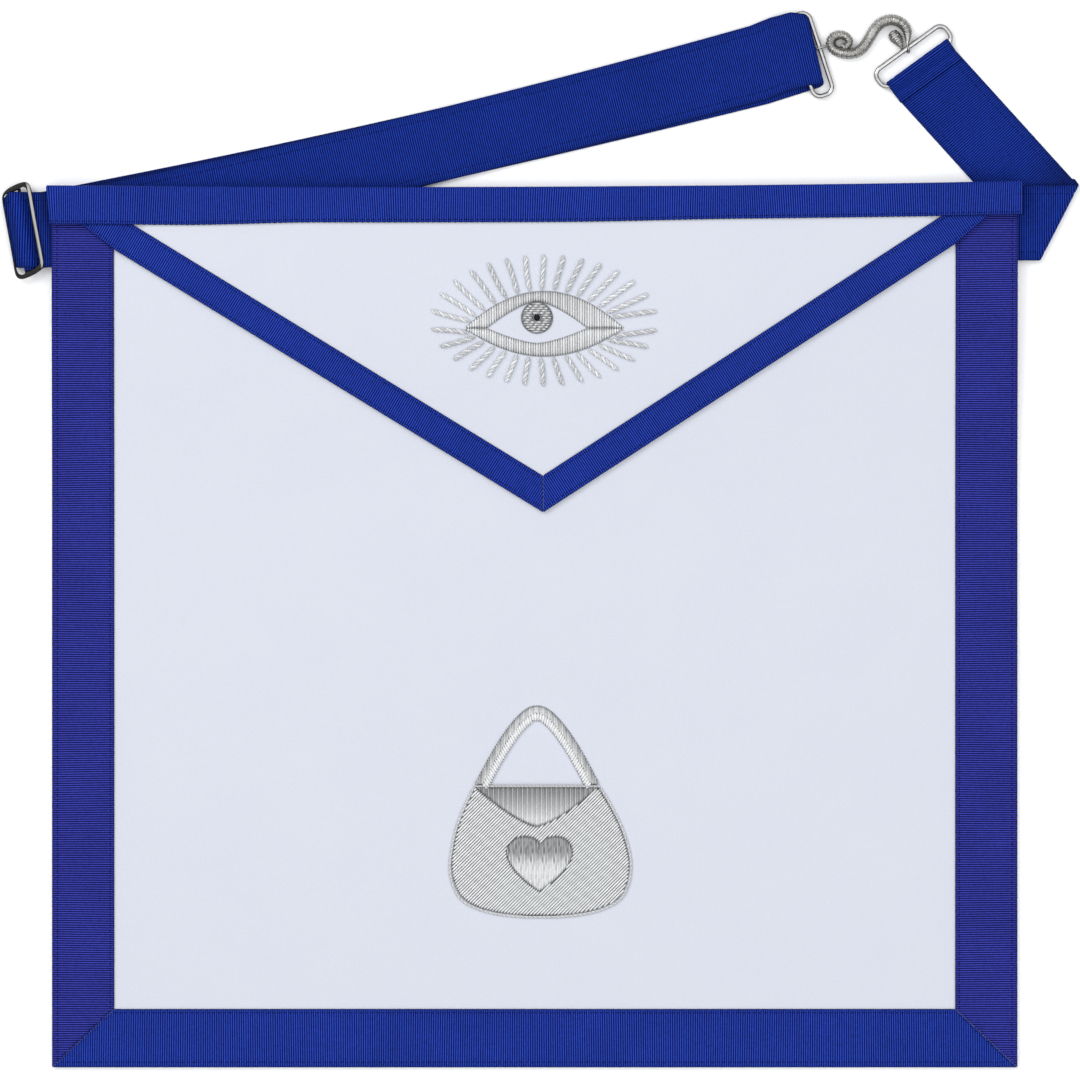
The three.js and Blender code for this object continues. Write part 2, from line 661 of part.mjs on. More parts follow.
function beltLeft() {
  const tuckEnd = framePoint({ x: BELT_TUCK - HALF_WIDTH, y: BELT_LEFT_Y, across: 90 }, 0, 0, TUCK_LEVEL);
  const square = { x: tuckEnd.x, y: tuckEnd.y, across: 90 };
  const half = BELT_WIDTH / 2;
  const down = new THREE.Vector3(0, 0, -1);
  const start = {
    low: framePoint(square, 0, -half, TUCK_LEVEL),
    high: framePoint(square, 0, half, TUCK_LEVEL),
    normal: down,
  };
  const clear = LAYER_GAP + BELT_THICK / 2;
  const wireTurn = SLIDER_WIRE_RADIUS + clear;
  const endTurn = SLIDER_BAR_RADIUS + clear;
  const foldRadius = (TUCK_LEVEL - BACK_LEVEL) / 2;
  const foldU = -SLIDER_BAR_U + foldRadius - clear / 2;
  const enter = SLIDER_BAR_U + 2 * wireTurn;
  const leaving = [-SLIDER_BELT_SHIFT - half, -SLIDER_BELT_SHIFT + half];
  const weave = turnStations(
    SLIDER_FRAME,
    [
      roller(enter, TUCK_LEVEL, 0, 1),
      roller(SLIDER_BAR_U, SLIDER_LEVEL, wireTurn, 1),
      roller(0, SLIDER_LEVEL, endTurn + BELT_PITCH, -1),
      roller(-SLIDER_BAR_U, SLIDER_LEVEL, wireTurn, 1),
      roller(foldU, BACK_LEVEL + foldRadius, foldRadius, -1),
      roller(SLIDER_BAR_U, BACK_LEVEL, 0, 1),
    ],
    levelEdges(SLIDER_FRAME, enter, BELT_LEFT_Y),
    leaving,
  );

  const bar = framePoint(RING_LEFT_FRAME, -RING_BAR_U, 0, 0);
  const loopFrame = { x: bar.x, y: bar.y, across: RING_LEFT_RULING };
  const tip = BELT_LOOP_REACH;
  const landing = 1.5 * BELT_LANDING;
  const shifted = (shift) => [shift - half, shift + half];
  const loop = turnStations(
    loopFrame,
    [
      roller(-landing, BACK_LEVEL, 0, 1),
      roller(tip - TURN_RADIUS - BELT_THICK / 2, RING_LEVEL, TURN_RADIUS, -1),
      roller(0, RING_LEVEL, TURN_RADIUS + LAYER_GAP, -1),
      roller(-BELT_LANDING, FRONT_LEVEL + BELT_LANDING, BELT_LANDING, 1),
      roller(-landing, FRONT_LEVEL, 0, 1),
    ],
    shifted(BACK_LAYER_SHIFT),
    shifted(FRONT_LAYER_SHIFT),
    { tip, radius: BELT_CORNER_RADIUS },
  );

  const sewn = turnStations(
    SLIDER_FRAME,
    [
      roller(enter, FRONT_LEVEL, 0, 1),
      roller(SLIDER_BAR_U, SLIDER_LEVEL, wireTurn + BELT_PITCH, 1),
      roller(0, SLIDER_LEVEL, endTurn, -1),
      roller(endTurn, SLIDER_LEVEL - endTurn, 0, -1),
    ],
    leaving,
    leaving,
  );

  const slack = { settle: BELT_WIDTH, startAcross: SLIDER_LEAN, endAcross: RING_LEFT_RULING };
  const back = flatStations({
    from: framePoint(SLIDER_FRAME, SLIDER_BAR_U, -SLIDER_BELT_SHIFT, 0),
    to: framePoint(loopFrame, -landing, BACK_LAYER_SHIFT, 0),
    level: BACK_LEVEL,
    facing: 1,
    sag: BACK_LAYER_SAG,
    ...slack,
  });
  const front = flatStations({
    from: framePoint(SLIDER_FRAME, enter, -SLIDER_BELT_SHIFT, 0),
    to: framePoint(loopFrame, -landing, FRONT_LAYER_SHIFT, 0),
    level: FRONT_LEVEL,
    facing: -1,
    sag: FRONT_LAYER_SAG,
    ...slack,
  });
  return band([start, ...weave, ...back, ...loop, ...front.reverse(), ...sewn]);
}

function beltRight() {
  const half = BELT_WIDTH / 2;
  const square = (x) => ({ x, y: BELT_RIGHT_Y, across: 90 });
  const level = (x) => ({
    low: framePoint(square(x), 0, -half, TUCK_LEVEL),
    high: framePoint(square(x), 0, half, TUCK_LEVEL),
    normal: new THREE.Vector3(0, 0, 1),
  });
  const foldRadius = (TUCK_LEVEL - BACK_LEVEL) / 2;
  const foldLine = { x: HALF_WIDTH + BELT_FOLD_REACH, y: BELT_RIGHT_Y, across: BELT_FOLD_ANGLE };
  const centre = -foldRadius - BELT_THICK / 2;
  const enter = centre - BELT_THICK;
  const incoming = levelEdges(foldLine, enter, BELT_RIGHT_Y);
  const turn = 2 * (centre - enter) + Math.PI * foldRadius;
  const outgoing = levelEdges(foldLine, enter + turn, BELT_RIGHT_Y);
  const fold = turnStations(
    foldLine,
    [
      roller(enter, TUCK_LEVEL, 0, 1),
      roller(centre, BACK_LEVEL + foldRadius, foldRadius, 1),
      roller(enter, BACK_LEVEL, 0, 1),
    ],
    incoming,
    outgoing,
  );
  const middle = (outgoing[0] + outgoing[1]) / 2;

  const bar = framePoint(RING_RIGHT_FRAME, RING_BAR_U, 0, 0);
  const loopFrame = { x: bar.x, y: bar.y, across: RING_RIGHT.angle };
  const tabBend = BELT_TAB / 4;
  const loopStart = BELT_TAB / 2;
  const edges = [-half, half];
  const loop = turnStations(
    loopFrame,
    [
      roller(loopStart, BACK_LEVEL, 0, 1),
      roller(0, RING_LEVEL, TURN_RADIUS, 1),
      roller(0.6 * BELT_TAB, FRONT_LEVEL + tabBend, tabBend, -1),
      roller(BELT_TAB, FRONT_LEVEL, 0, 1),
    ],
    edges,
    edges,
  );
  const strip = flatStations({
    from: framePoint(foldLine, enter, middle, 0),
    to: framePoint(loopFrame, loopStart, 0, 0),
    startAcross: BELT_FOLD_ANGLE,
    endAcross: RING_RIGHT.angle,
    level: BACK_LEVEL,
    facing: -1,
    sag: 0,
    settle: BELT_WIDTH,
  });
  return band([
    level(HALF_WIDTH - BELT_TUCK),
    level(HALF_WIDTH),
    ...fold,
    ...strip,
    ...loop,
  ]);
}

// A wire bent to a long rounded loop that lies level in a frame.
function wireLoop(frame, { length, width, wire, corner, level }, sides) {
  const halfLength = length / 2 - wire - corner;
  const halfWidth = width / 2 - wire - corner;
  const corners = [
    [1, 1, 0],
    [-1, 1, 90],
    [-1, -1, 180],
    [1, -1, 270],
  ];
  const path = corners.flatMap(([right, up, begin]) =>
    spread(begin, begin + 90, 4).map((degrees) =>
      framePoint(
        frame,
        right * halfWidth + corner * Math.cos(radians(degrees)),
        up * halfLength + corner * Math.sin(radians(degrees)),
        level,
      ),
    ),
  );
  const apart = path.filter((point, i) => {
    const next = path[(i + 1) % path.length];
    return point.distanceTo(next) > wire / 10;
  });
  return tube(apart, apart.map(() => wire), sides, true);
}

function ring(frame) {
  const shape = {
    length: RING_LENGTH,
    width: RING_WIDTH,
    wire: RING_WIRE_RADIUS,
    corner: Math.min(RING_CORNER_RADIUS, RING_BAR_U),
    level: RING_LEVEL,
  };
  return wireLoop(frame, shape, 8);
}

function slider() {
  const shape = {
    length: SLIDER_LENGTH,
    width: SLIDER_WIDTH,
    wire: SLIDER_WIRE_RADIUS,
    corner: Math.min(SLIDER_CORNER_RADIUS, SLIDER_BAR_U),
    level: SLIDER_LEVEL,
  };
  const reach = SLIDER_LENGTH / 2 - SLIDER_WIRE_RADIUS;
  const bar = spread(-reach, reach, 2).map((v) => framePoint(SLIDER_FRAME, 0, v, SLIDER_LEVEL));
  const middle = tube(bar, bar.map(() => SLIDER_BAR_RADIUS), 8);
  return geometryOf(solidOf(wireLoop(SLIDER_FRAME, shape, 8)).add(solidOf(middle)));
}

// The snake's middle line: the coiled tail, the body, the hook round the right ring, and the head.
function snakeClasp() {
  const left = framePoint(RING_LEFT_FRAME, RING_BAR_U, CLASP_LEFT_GRIP, RING_LEVEL);
  const right = framePoint(RING_RIGHT_FRAME, -RING_BAR_U, CLASP_RIGHT_GRIP, RING_LEVEL);
  const middle = left.clone().add(right).multiplyScalar(0.5);
  const along = right.clone().sub(left);
  const above = new THREE.Vector3(-along.y, along.x, 0);
  const place = (row, z) =>
    middle.clone().addScaledVector(along, row.along).addScaledVector(above, row.above).setZ(z);

  const rest = CLASP_BODY_RADIUS + LAYER_GAP / 2;
  const route = SNAKE_BODY.map((row) => ({ at: place(row, rest), thick: row.thick * CLASP_BODY_RADIUS }));
  const hookTurn = RING_WIRE_RADIUS + LAYER_GAP + CLASP_HOOK_RADIUS;
  const drift = 2.5 * CLASP_HOOK_RADIUS;
  spread(50, 300, 8).forEach((degrees, i, all) => {
    const angle = radians(degrees);
    const slip = mix(drift, -drift, i / (all.length - 1));
    const u = -RING_BAR_U - hookTurn * Math.cos(angle);
    const z = RING_LEVEL + hookTurn * Math.sin(angle);
    const at = framePoint(RING_RIGHT_FRAME, u, CLASP_RIGHT_GRIP + slip, z);
    route.push({ at, thick: CLASP_HOOK_RADIUS });
  });
  SNAKE_HEAD.forEach((row) => {
    route.push({ at: place(row, row.lift * rest), thick: row.thick * CLASP_BODY_RADIUS });
  });
  const curve = new THREE.CatmullRomCurve3(route.map(({ at }) => at), false, "centripetal");
  const steps = 2 * (route.length - 1);
  const path = [];
  const radii = [];
  for (let i = 0; i <= steps; i++) {
    const passed = (i / steps) * (route.length - 1);
    const row = Math.min(Math.floor(passed), route.length - 2);
    path.push(curve.getPoint(i / steps));
    radii.push(mix(route[row].thick, route[row + 1].thick, passed - row));
  }
  let snake = solidOf(tube(path, radii, 8));

  const coil = place(SNAKE_BODY[6], rest);
  const run = coil.distanceTo(left);
  const eyeletPoint = (u, z) => framePoint(RING_LEFT_FRAME, u, CLASP_LEFT_GRIP, RING_LEVEL + z);
  const eyelet = [eyeletPoint(RING_BAR_U + run, hookTurn / 2)];
  spread(90, 270, 6).forEach((degrees) => {
    const angle = radians(degrees);
    eyelet.push(eyeletPoint(RING_BAR_U + hookTurn * Math.cos(angle), hookTurn * Math.sin(angle)));
  });
  eyelet.push(eyeletPoint(RING_BAR_U + run, -hookTurn / 2));
  snake = snake.add(solidOf(tube(eyelet, eyelet.map(() => CLASP_HOOK_RADIUS), 6)));

  const brow = SNAKE_HEAD[2];
  const head = place(brow, brow.lift * rest);
  const facing = place(SNAKE_HEAD[1], 0).sub(place(SNAKE_HEAD[3], 0)).normalize();
  const sideways = new THREE.Vector3(-facing.y, facing.x, 0);
  [-1, 1].forEach((side) => {
    const radius = brow.thick * CLASP_BODY_RADIUS;
    const eye = new THREE.SphereGeometry(CLASP_EYE_RADIUS, 8, 6);
    const at = head.clone().addScaledVector(sideways, (side * radius) / 2);
    eye.translate(at.x, at.y, at.z + radius * 0.8);
    snake = snake.add(solidOf(eye));
  });
  return geometryOf(snake);
}

// Embroidery. A pad is a row of stations, each with the two ends of its stitches, and it rises
// in a low arch between them.

function pad(stations, rise, surface, columns = 6) {
  const arch = (t) => rise * mix(PAD_EDGE_SHARE, 1, Math.sin(Math.PI * t));
  const grid = (height) =>
    stations.map(({ from, to }) =>
      spread(0, 1, columns).map((t) => {
        const x = mix(from[0], to[0], t);
        const y = mix(from[1], to[1], t);
        return [x, y, surface(x, y) + height(t)];
      }),
    );
  return slab(grid(arch), grid(() => 0));
}

const EYE = { x: EYE_RIGHT_OF_MIDDLE, y: FLAP_POINT[1] + EYE_ABOVE_POINT };
const EYE_CORNERS = { x: EYE.x + LIDS_SHIFT, y: EYE.y - LIDS_CORNER_DROP };

// Height of the eye's outer line above the corners, and of its opening, for a rise of 1.
function lidOuter(x) {
  const across = clamp((x - EYE_CORNERS.x) / LIDS_HALF_WIDTH, -1, 1);
  return 1 - across * across;
}

function lidOpening(x) {
  const across = clamp(Math.abs(x - EYE.x) / OPENING_HALF_WIDTH, 0, 1);
  return 1 - across ** 1.5;
}

function lid(direction, outerRise, innerRise) {
  const stations = spread(-1, 1, 22).map((t) => {
    const x = EYE_CORNERS.x + LIDS_HALF_WIDTH * Math.sin((t * Math.PI) / 2);
    const inner = Math.max(innerRise * lidOpening(x), LAYER_GAP);
    const outer = Math.max(outerRise * lidOuter(x), inner + PAD_END_WIDTH);
    return {
      from: [x, EYE_CORNERS.y + direction * inner],
      to: [x, EYE_CORNERS.y + direction * outer],
    };
  });
  return pad(stations, EMBROIDERY_RISE, flapTop);
}

function iris() {
  const stations = spread(-1, 1, 16).map((t) => {
    const angle = (t * Math.PI) / 2;
    const x = EYE.x + IRIS_RADIUS * Math.sin(angle);
    const half = Math.max(IRIS_RADIUS * Math.cos(angle), PAD_END_WIDTH);
    return { from: [x, EYE.y - half], to: [x, EYE.y + half] };
  });
  const seat = new THREE.CylinderGeometry(1, 1, 4 * FAR, 20).rotateX(Math.PI / 2);
  seat.scale(PUPIL_RADIUS + LAYER_GAP, PUPIL_RADIUS + LAYER_GAP, 1);
  seat.translate(EYE.x, EYE.y, 0);
  const disc = solidOf(pad(stations, EMBROIDERY_RISE, flapTop));
  return geometryOf(disc.subtract(solidOf(seat)));
}

function pupil() {
  const bead = new THREE.SphereGeometry(PUPIL_RADIUS, 14, 10).rotateX(Math.PI / 2);
  bead.translate(EYE.x, EYE.y, flapTop(EYE.x, EYE.y) + PUPIL_RADIUS + LAYER_GAP / 2);
  return bead;
}

// Tips of the rays: places at equal distances round an ellipse, from the top clockwise.
function rayTips() {
  const fine = 720;
  const round = spread(0, 2 * Math.PI, fine).map((angle) => [
    EYE_CORNERS.x + RAY_SPREAD_HALF_WIDTH * Math.sin(angle),
    EYE.y - RAY_SPREAD_DROP + RAY_SPREAD_HALF_HEIGHT * Math.cos(angle),
  ]);
  const lengths = [0];
  for (let i = 1; i <= fine; i++) {
    const [a, b] = [round[i - 1], round[i]];
    lengths.push(lengths[i - 1] + Math.hypot(b[0] - a[0], b[1] - a[1]));
  }
  return Array.from({ length: RAY_COUNT }, (_, k) => {
    const wanted = (lengths[fine] * k) / RAY_COUNT;
    return round[lengths.findIndex((length) => length >= wanted)];
  });
}

// A ray starts clear of the lid's edge and ends at its tip.
function ray([tipX, tipY]) {
  const rootX = EYE.x + (tipX - EYE.x) * RAY_ROOT_SHARE;
  const up = tipY > EYE_CORNERS.y;
  const rise = up ? UPPER_LID_RISE : -LOWER_LID_DROP;
  const rootY = EYE_CORNERS.y + rise * lidOuter(rootX);
  const heading = Math.atan2(tipY - rootY, tipX - rootX);
  const along = [Math.cos(heading), Math.sin(heading)];
  const slope = (-2 * rise * (rootX - EYE_CORNERS.x)) / LIDS_HALF_WIDTH ** 2;
  const square = Math.abs(along[1] - slope * along[0]) / Math.hypot(1, slope);
  const start = (RAY_WIDTH / 2 + LAYER_GAP) / square;
  const length = Math.hypot(tipX - rootX, tipY - rootY);
  const outline = [
    { at: start, half: 0.8 },
    { at: mix(start, length, 0.35), half: 1.0 },
    { at: mix(start, length, 0.8), half: 0.8 },
    { at: length, half: 0.35 },
  ];
  const stations = outline.map(({ at, half }) => {
    const x = rootX + at * along[0];
    const y = rootY + at * along[1];
    const reach = (half * RAY_WIDTH) / 2;
    return {
      from: [x + reach * along[1], y - reach * along[0]],
      to: [x - reach * along[1], y + reach * along[0]],
    };
  });
  return pad(stations, RAY_RISE, flapTop, 4);
}

const PURSE = { x: PURSE_RIGHT_OF_MIDDLE, y: PURSE_MOUTH_HEIGHT };

// The two ends of the purse's outline in each row, grown outwards by a small amount.
function purseRow({ down, half }, grow) {
  const middle = PURSE.x + PURSE_BODY_SHIFT * Math.min(down * 2, 1);
  const reach = (half * PURSE_WIDTH) / 2 + grow;
  const y = PURSE.y - down * (PURSE_DEPTH + grow);
  return { from: [middle - reach, y], to: [middle + reach, y] };
}

function purseFlapLow(share) {
  return PURSE.y - PURSE_FLAP_DEPTH * (1 - Math.abs(share) ** PURSE_FLAP_POWER);
}

const MOUTH_HALF = (PURSE_OUTLINE[0].half * PURSE_WIDTH) / 2;

function purseFlap() {
  const stations = spread(-1, 1, 16).map((share) => {
    const x = PURSE.x + share * MOUTH_HALF;
    return { from: [x, purseFlapLow(share) - PAD_END_WIDTH], to: [x, PURSE.y] };
  });
  return pad(stations, EMBROIDERY_RISE, panelTop);
}

// The heart's lower and upper line at a share of its half width.
function heartSpan(share) {
  const wide = Math.abs(share);
  const round = Math.sqrt(Math.max(0, 1 - (2 * wide - 1) ** 2));
  const lobe = HEART_LOBE * (wide < 0.5 ? mix(HEART_DIP, 1, round) : round);
  const point = HEART_POINT * (1 - wide) ** HEART_POINT_POWER;
  const level = PURSE.y - HEART_DROP;
  return [level - point - PAD_END_WIDTH, level + lobe + PAD_END_WIDTH];
}

const HEART_SHARES = spread(-1, 1, 20).map((t) => Math.sin((t * Math.PI) / 2));
const HEART_X = PURSE.x + PURSE_BODY_SHIFT;

function purseHeart() {
  const stations = HEART_SHARES.map((share) => {
    const [low, high] = heartSpan(share);
    const x = HEART_X + share * HEART_HALF_WIDTH;
    return { from: [x, low], to: [x, high] };
  });
  return pad(stations, EMBROIDERY_RISE, panelTop);
}

// The body is open where the purse's flap and the heart sit.
function purseBody() {
  const body = solidOf(pad(PURSE_OUTLINE.map((row) => purseRow(row, 0)), EMBROIDERY_RISE, panelTop, 10));
  const past = MOUTH_HALF + LAYER_GAP;
  const clearance = PAD_END_WIDTH + 2 * LAYER_GAP;
  const flapHole = [
    [PURSE.x + past, PURSE.y + FAR],
    [PURSE.x - past, PURSE.y + FAR],
    ...spread(-1, 1, 16).map((share) => [PURSE.x + share * past, purseFlapLow(share) - clearance]),
  ];
  const grown = (share) => HEART_X + share * (HEART_HALF_WIDTH + 2 * LAYER_GAP);
  const heartHole = [
    ...HEART_SHARES.map((share) => [grown(share), heartSpan(share)[0] - 2 * LAYER_GAP]),
    ...[...HEART_SHARES].reverse().map((share) => [grown(share), heartSpan(share)[1] + 2 * LAYER_GAP]),
  ];
  return geometryOf(body.subtract(block(flapHole)).subtract(block(heartHole)));
}

function purseHandle() {
  const foot = LAYER_GAP + PAD_END_WIDTH;
  const centre = (share) => [
    PURSE.x + share * HANDLE_HALF_SPAN,
    PURSE.y + foot + HANDLE_RISE * (1 - Math.abs(share) ** HANDLE_POWER),
  ];
  const shares = spread(-1, 1, 20);
  const stations = shares.map((share) => {
    const [x, y] = centre(share);
    const [ax, ay] = centre(Math.max(share - 0.02, -1));
    const [bx, by] = centre(Math.min(share + 0.02, 1));
    const length = Math.hypot(bx - ax, by - ay);
    const level = Math.abs(share) === 1;
    const half = level ? HANDLE_BAND / 2 / Math.abs((by - ay) / length) : HANDLE_BAND / 2;
    const normal = level ? [-share, 0] : [(by - ay) / length, -(bx - ax) / length];
    const out = level ? [Math.sign(by - ay), 0] : normal;
    return {
      from: [x + half * out[0], y + half * out[1]],
      to: [x - half * out[0], y - half * out[1]],
    };
  });
  return pad(stations, EMBROIDERY_RISE, panelTop);
}

function purseCord() {
  const grow = CORD_RADIUS + 1.5 * LAYER_GAP;
  const rows = PURSE_OUTLINE.map((row) => purseRow(row, grow));
  const plan = [...rows.map(({ from }) => from), ...[...rows].reverse().map(({ to }) => to)];
  const path = plan.map(([x, y]) => new THREE.Vector3(x, y, panelTop(x, y) + CORD_RADIUS));
  return tube(path, path.map(() => CORD_RADIUS), 8);
}

// The assembly

const apron = new THREE.Group();

function add(name, shape, material) {
  const geometry = shape.isBufferGeometry ? shape : geometryOf(shape);
  const mesh = new THREE.Mesh(geometry, material);
  mesh.name = name;
  apron.add(mesh);
}

add("apron_panel", apronPanel(), MATERIALS.leather);
add("left_border", sideBorder(-1), MATERIALS.ribbon);
add("right_border", sideBorder(1), MATERIALS.ribbon);
add("bottom_border", bottomBorder(), MATERIALS.ribbon);
add("flap_panel", sheet(flapLow, FLAP_THICK, flapOutline(0)), MATERIALS.leather);
add("flap_border_left", flapRibbon(-1), MATERIALS.ribbon);
add("flap_border_right", flapRibbon(1), MATERIALS.ribbon);
add("top_binding", topBinding(), MATERIALS.ribbon);
add("belt_left", beltLeft(), MATERIALS.belt);
add("belt_right", beltRight(), MATERIALS.belt);
add("slider", slider(), MATERIALS.gunmetal);
add("ring_left", ring(RING_LEFT_FRAME), MATERIALS.chrome);
add("ring_right", ring(RING_RIGHT_FRAME), MATERIALS.chrome);
add("snake_clasp", snakeClasp(), MATERIALS.silver);
add("eye_upper_lid", lid(1, UPPER_LID_RISE, UPPER_LID_OPEN), MATERIALS.bullion);
add("eye_lower_lid", lid(-1, LOWER_LID_DROP, LOWER_LID_OPEN), MATERIALS.bullion);
add("eye_iris", iris(), MATERIALS.bullion);
add("eye_pupil", pupil(), MATERIALS.bead);
rayTips().forEach((tip, i) => {
  add(`ray_${String(i + 1).padStart(2, "0")}`, ray(tip), MATERIALS.bullion);
});
add("purse_body", purseBody(), MATERIALS.bullion);
add("purse_flap", purseFlap(), MATERIALS.bullion);
add("purse_heart", purseHeart(), MATERIALS.bullion);
add("purse_handle", purseHandle(), MATERIALS.bullion);
add("purse_cord", purseCord(), MATERIALS.bullion);

// The origin is under the middle of the whole thing, on the surface that it lies on.
const bounds = new THREE.Box3().setFromObject(apron);
const centre = bounds.getCenter(new THREE.Vector3());
apron.position.set(-centre.x, -centre.y, -bounds.min.z);

export default apron;
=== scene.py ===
"""Dresses the lodge apron: leather, ribbon, web belt, plated fittings and raised bullion work.

Shapes are worked out in millimetres from the middle of the apron's bottom edge, and they are
moved to the shared frame, in metres, when a mesh is made.
"""

from __future__ import annotations

import logging
from dataclasses import dataclass, field
from enum import Enum
from math import asin, atan2, ceil, cos, degrees, hypot, pi, radians, sin, sqrt, tau
from typing import Callable, Iterable, Sequence

import bmesh
import bpy
import numpy as np
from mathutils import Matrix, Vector

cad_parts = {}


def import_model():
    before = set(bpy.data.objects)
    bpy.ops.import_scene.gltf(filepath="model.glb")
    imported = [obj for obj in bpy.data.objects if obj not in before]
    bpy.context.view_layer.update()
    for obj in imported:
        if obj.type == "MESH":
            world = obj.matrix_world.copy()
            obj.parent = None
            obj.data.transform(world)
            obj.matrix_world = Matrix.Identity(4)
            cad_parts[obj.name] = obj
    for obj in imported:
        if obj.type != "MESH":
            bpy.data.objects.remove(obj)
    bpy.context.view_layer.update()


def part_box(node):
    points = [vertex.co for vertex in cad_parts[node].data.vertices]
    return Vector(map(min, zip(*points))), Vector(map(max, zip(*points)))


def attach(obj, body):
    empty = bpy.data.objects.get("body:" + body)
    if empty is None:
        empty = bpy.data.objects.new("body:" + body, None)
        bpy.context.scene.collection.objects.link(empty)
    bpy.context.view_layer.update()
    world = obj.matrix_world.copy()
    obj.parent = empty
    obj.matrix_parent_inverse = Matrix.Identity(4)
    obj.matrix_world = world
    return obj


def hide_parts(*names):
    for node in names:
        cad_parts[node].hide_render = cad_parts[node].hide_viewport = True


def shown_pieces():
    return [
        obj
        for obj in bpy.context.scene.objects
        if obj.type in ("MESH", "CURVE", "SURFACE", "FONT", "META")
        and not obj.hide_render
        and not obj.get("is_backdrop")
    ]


LOG = logging.getLogger("apron")

Array = np.ndarray
Piece = bpy.types.Object
Material = bpy.types.Material
Socket = bpy.types.NodeSocket
Pair = tuple[float, float]
Height = Callable[[Array, Array], Array]
Colour = tuple[float, float, float]

WEAVE = "weave"
# Pixels of the photograph: its side, a millimetre and the plan's origin.
PHOTO_PIXELS = 1080
PIXELS_PER_MM = 2.3746
ORIGIN_PIXEL = (534.75, 1067.2)

UP = np.array([0.0, 0.0, 1.0])


class Face(Enum):
    """The two faces of a strap."""

    OUTER = 1.0
    INNER = -1.0


class Hand(Enum):
    """The side of the apron, as the photograph shows it."""

    LEFT = -1.0
    RIGHT = 1.0


class Lie(Enum):
    LAID = "laid"
    FOLDED = "folded"


# Arithmetic


def smooth(share: Array) -> Array:
    """Returns an S-shaped step for shares from 0 to 1, and holds it outside."""
    held = bounded(share)
    return held * held * (3.0 - 2.0 * held)


def unit(vectors: Array) -> Array:
    """Returns the vectors of the last axis at length 1."""
    return vectors / np.maximum(np.linalg.norm(vectors, axis=-1, keepdims=True), 1e-9)


def bounded(share: Array | float) -> Array:
    """Returns a share kept between 0 and 1."""
    return np.clip(share, 0.0, 1.0)


def joined(*parts: Array | float) -> Array:
    """Returns the parts as the values of a new last axis, with single numbers repeated."""
    return np.stack(np.broadcast_arrays(*parts), axis=-1)


def lengths_along(path: Array) -> Array:
    """Returns the distance of each point of a path from its start."""
    steps = np.linalg.norm(np.diff(path, axis=0), axis=1)
    return np.concatenate([[0.0], np.cumsum(steps)])


def along_path(path: Array, wanted: Array) -> Array:
    """Places points at wanted distances along a path.

    Args:
        path: Points in a row, each with any number of values.
        wanted: Distances from the path's start, measured on its first three values.

    Returns:
        One row of values for each distance.
    """
    done = lengths_along(path[:, :3])
    return np.stack([np.interp(wanted, done, path[:, k]) for k in range(path.shape[1])], axis=1)


def spline(points: Array, count: int, closed: bool = False) -> Array:
    """Draws a centripetal Catmull-Rom curve through points.

    Args:
        points: The points that the curve passes.
        count: Samples between each two points.
        closed: Whether the curve joins its own start.

    Returns:
        The samples, with the last point at the end of an open curve.
    """
    if closed:
        row = np.concatenate([points[-1:], points, points[:2]])
    else:
        first = 2.0 * points[:1] - points[1:2]
        last = 2.0 * points[-1:] - points[-2:-1]
        row = np.concatenate([first, points, last])
    shares = np.arange(count)[:, None] / count
    drawn = []
    for p0, p1, p2, p3 in zip(row[:-3], row[1:-2], row[2:-1], row[3:]):
        before, here, after = (
            max(float(np.linalg.norm(b - a)) ** 0.5, 1e-6) for a, b in ((p0, p1), (p1, p2), (p2, p3))
        )
        leave = here * ((p1 - p0) / before - (p2 - p0) / (before + here) + (p2 - p1) / here)
        arrive = here * ((p2 - p1) / here - (p3 - p1) / (here + after) + (p3 - p2) / after)
        square = -3.0 * p1 + 3.0 * p2 - 2.0 * leave - arrive
        cube = 2.0 * p1 - 2.0 * p2 + leave + arrive
        drawn.append(p1 + leave * shares + square * shares**2 + cube * shares**3)
    if not closed:
        drawn.append(points[-1:])
    return np.concatenate(drawn)


# The apron's plan


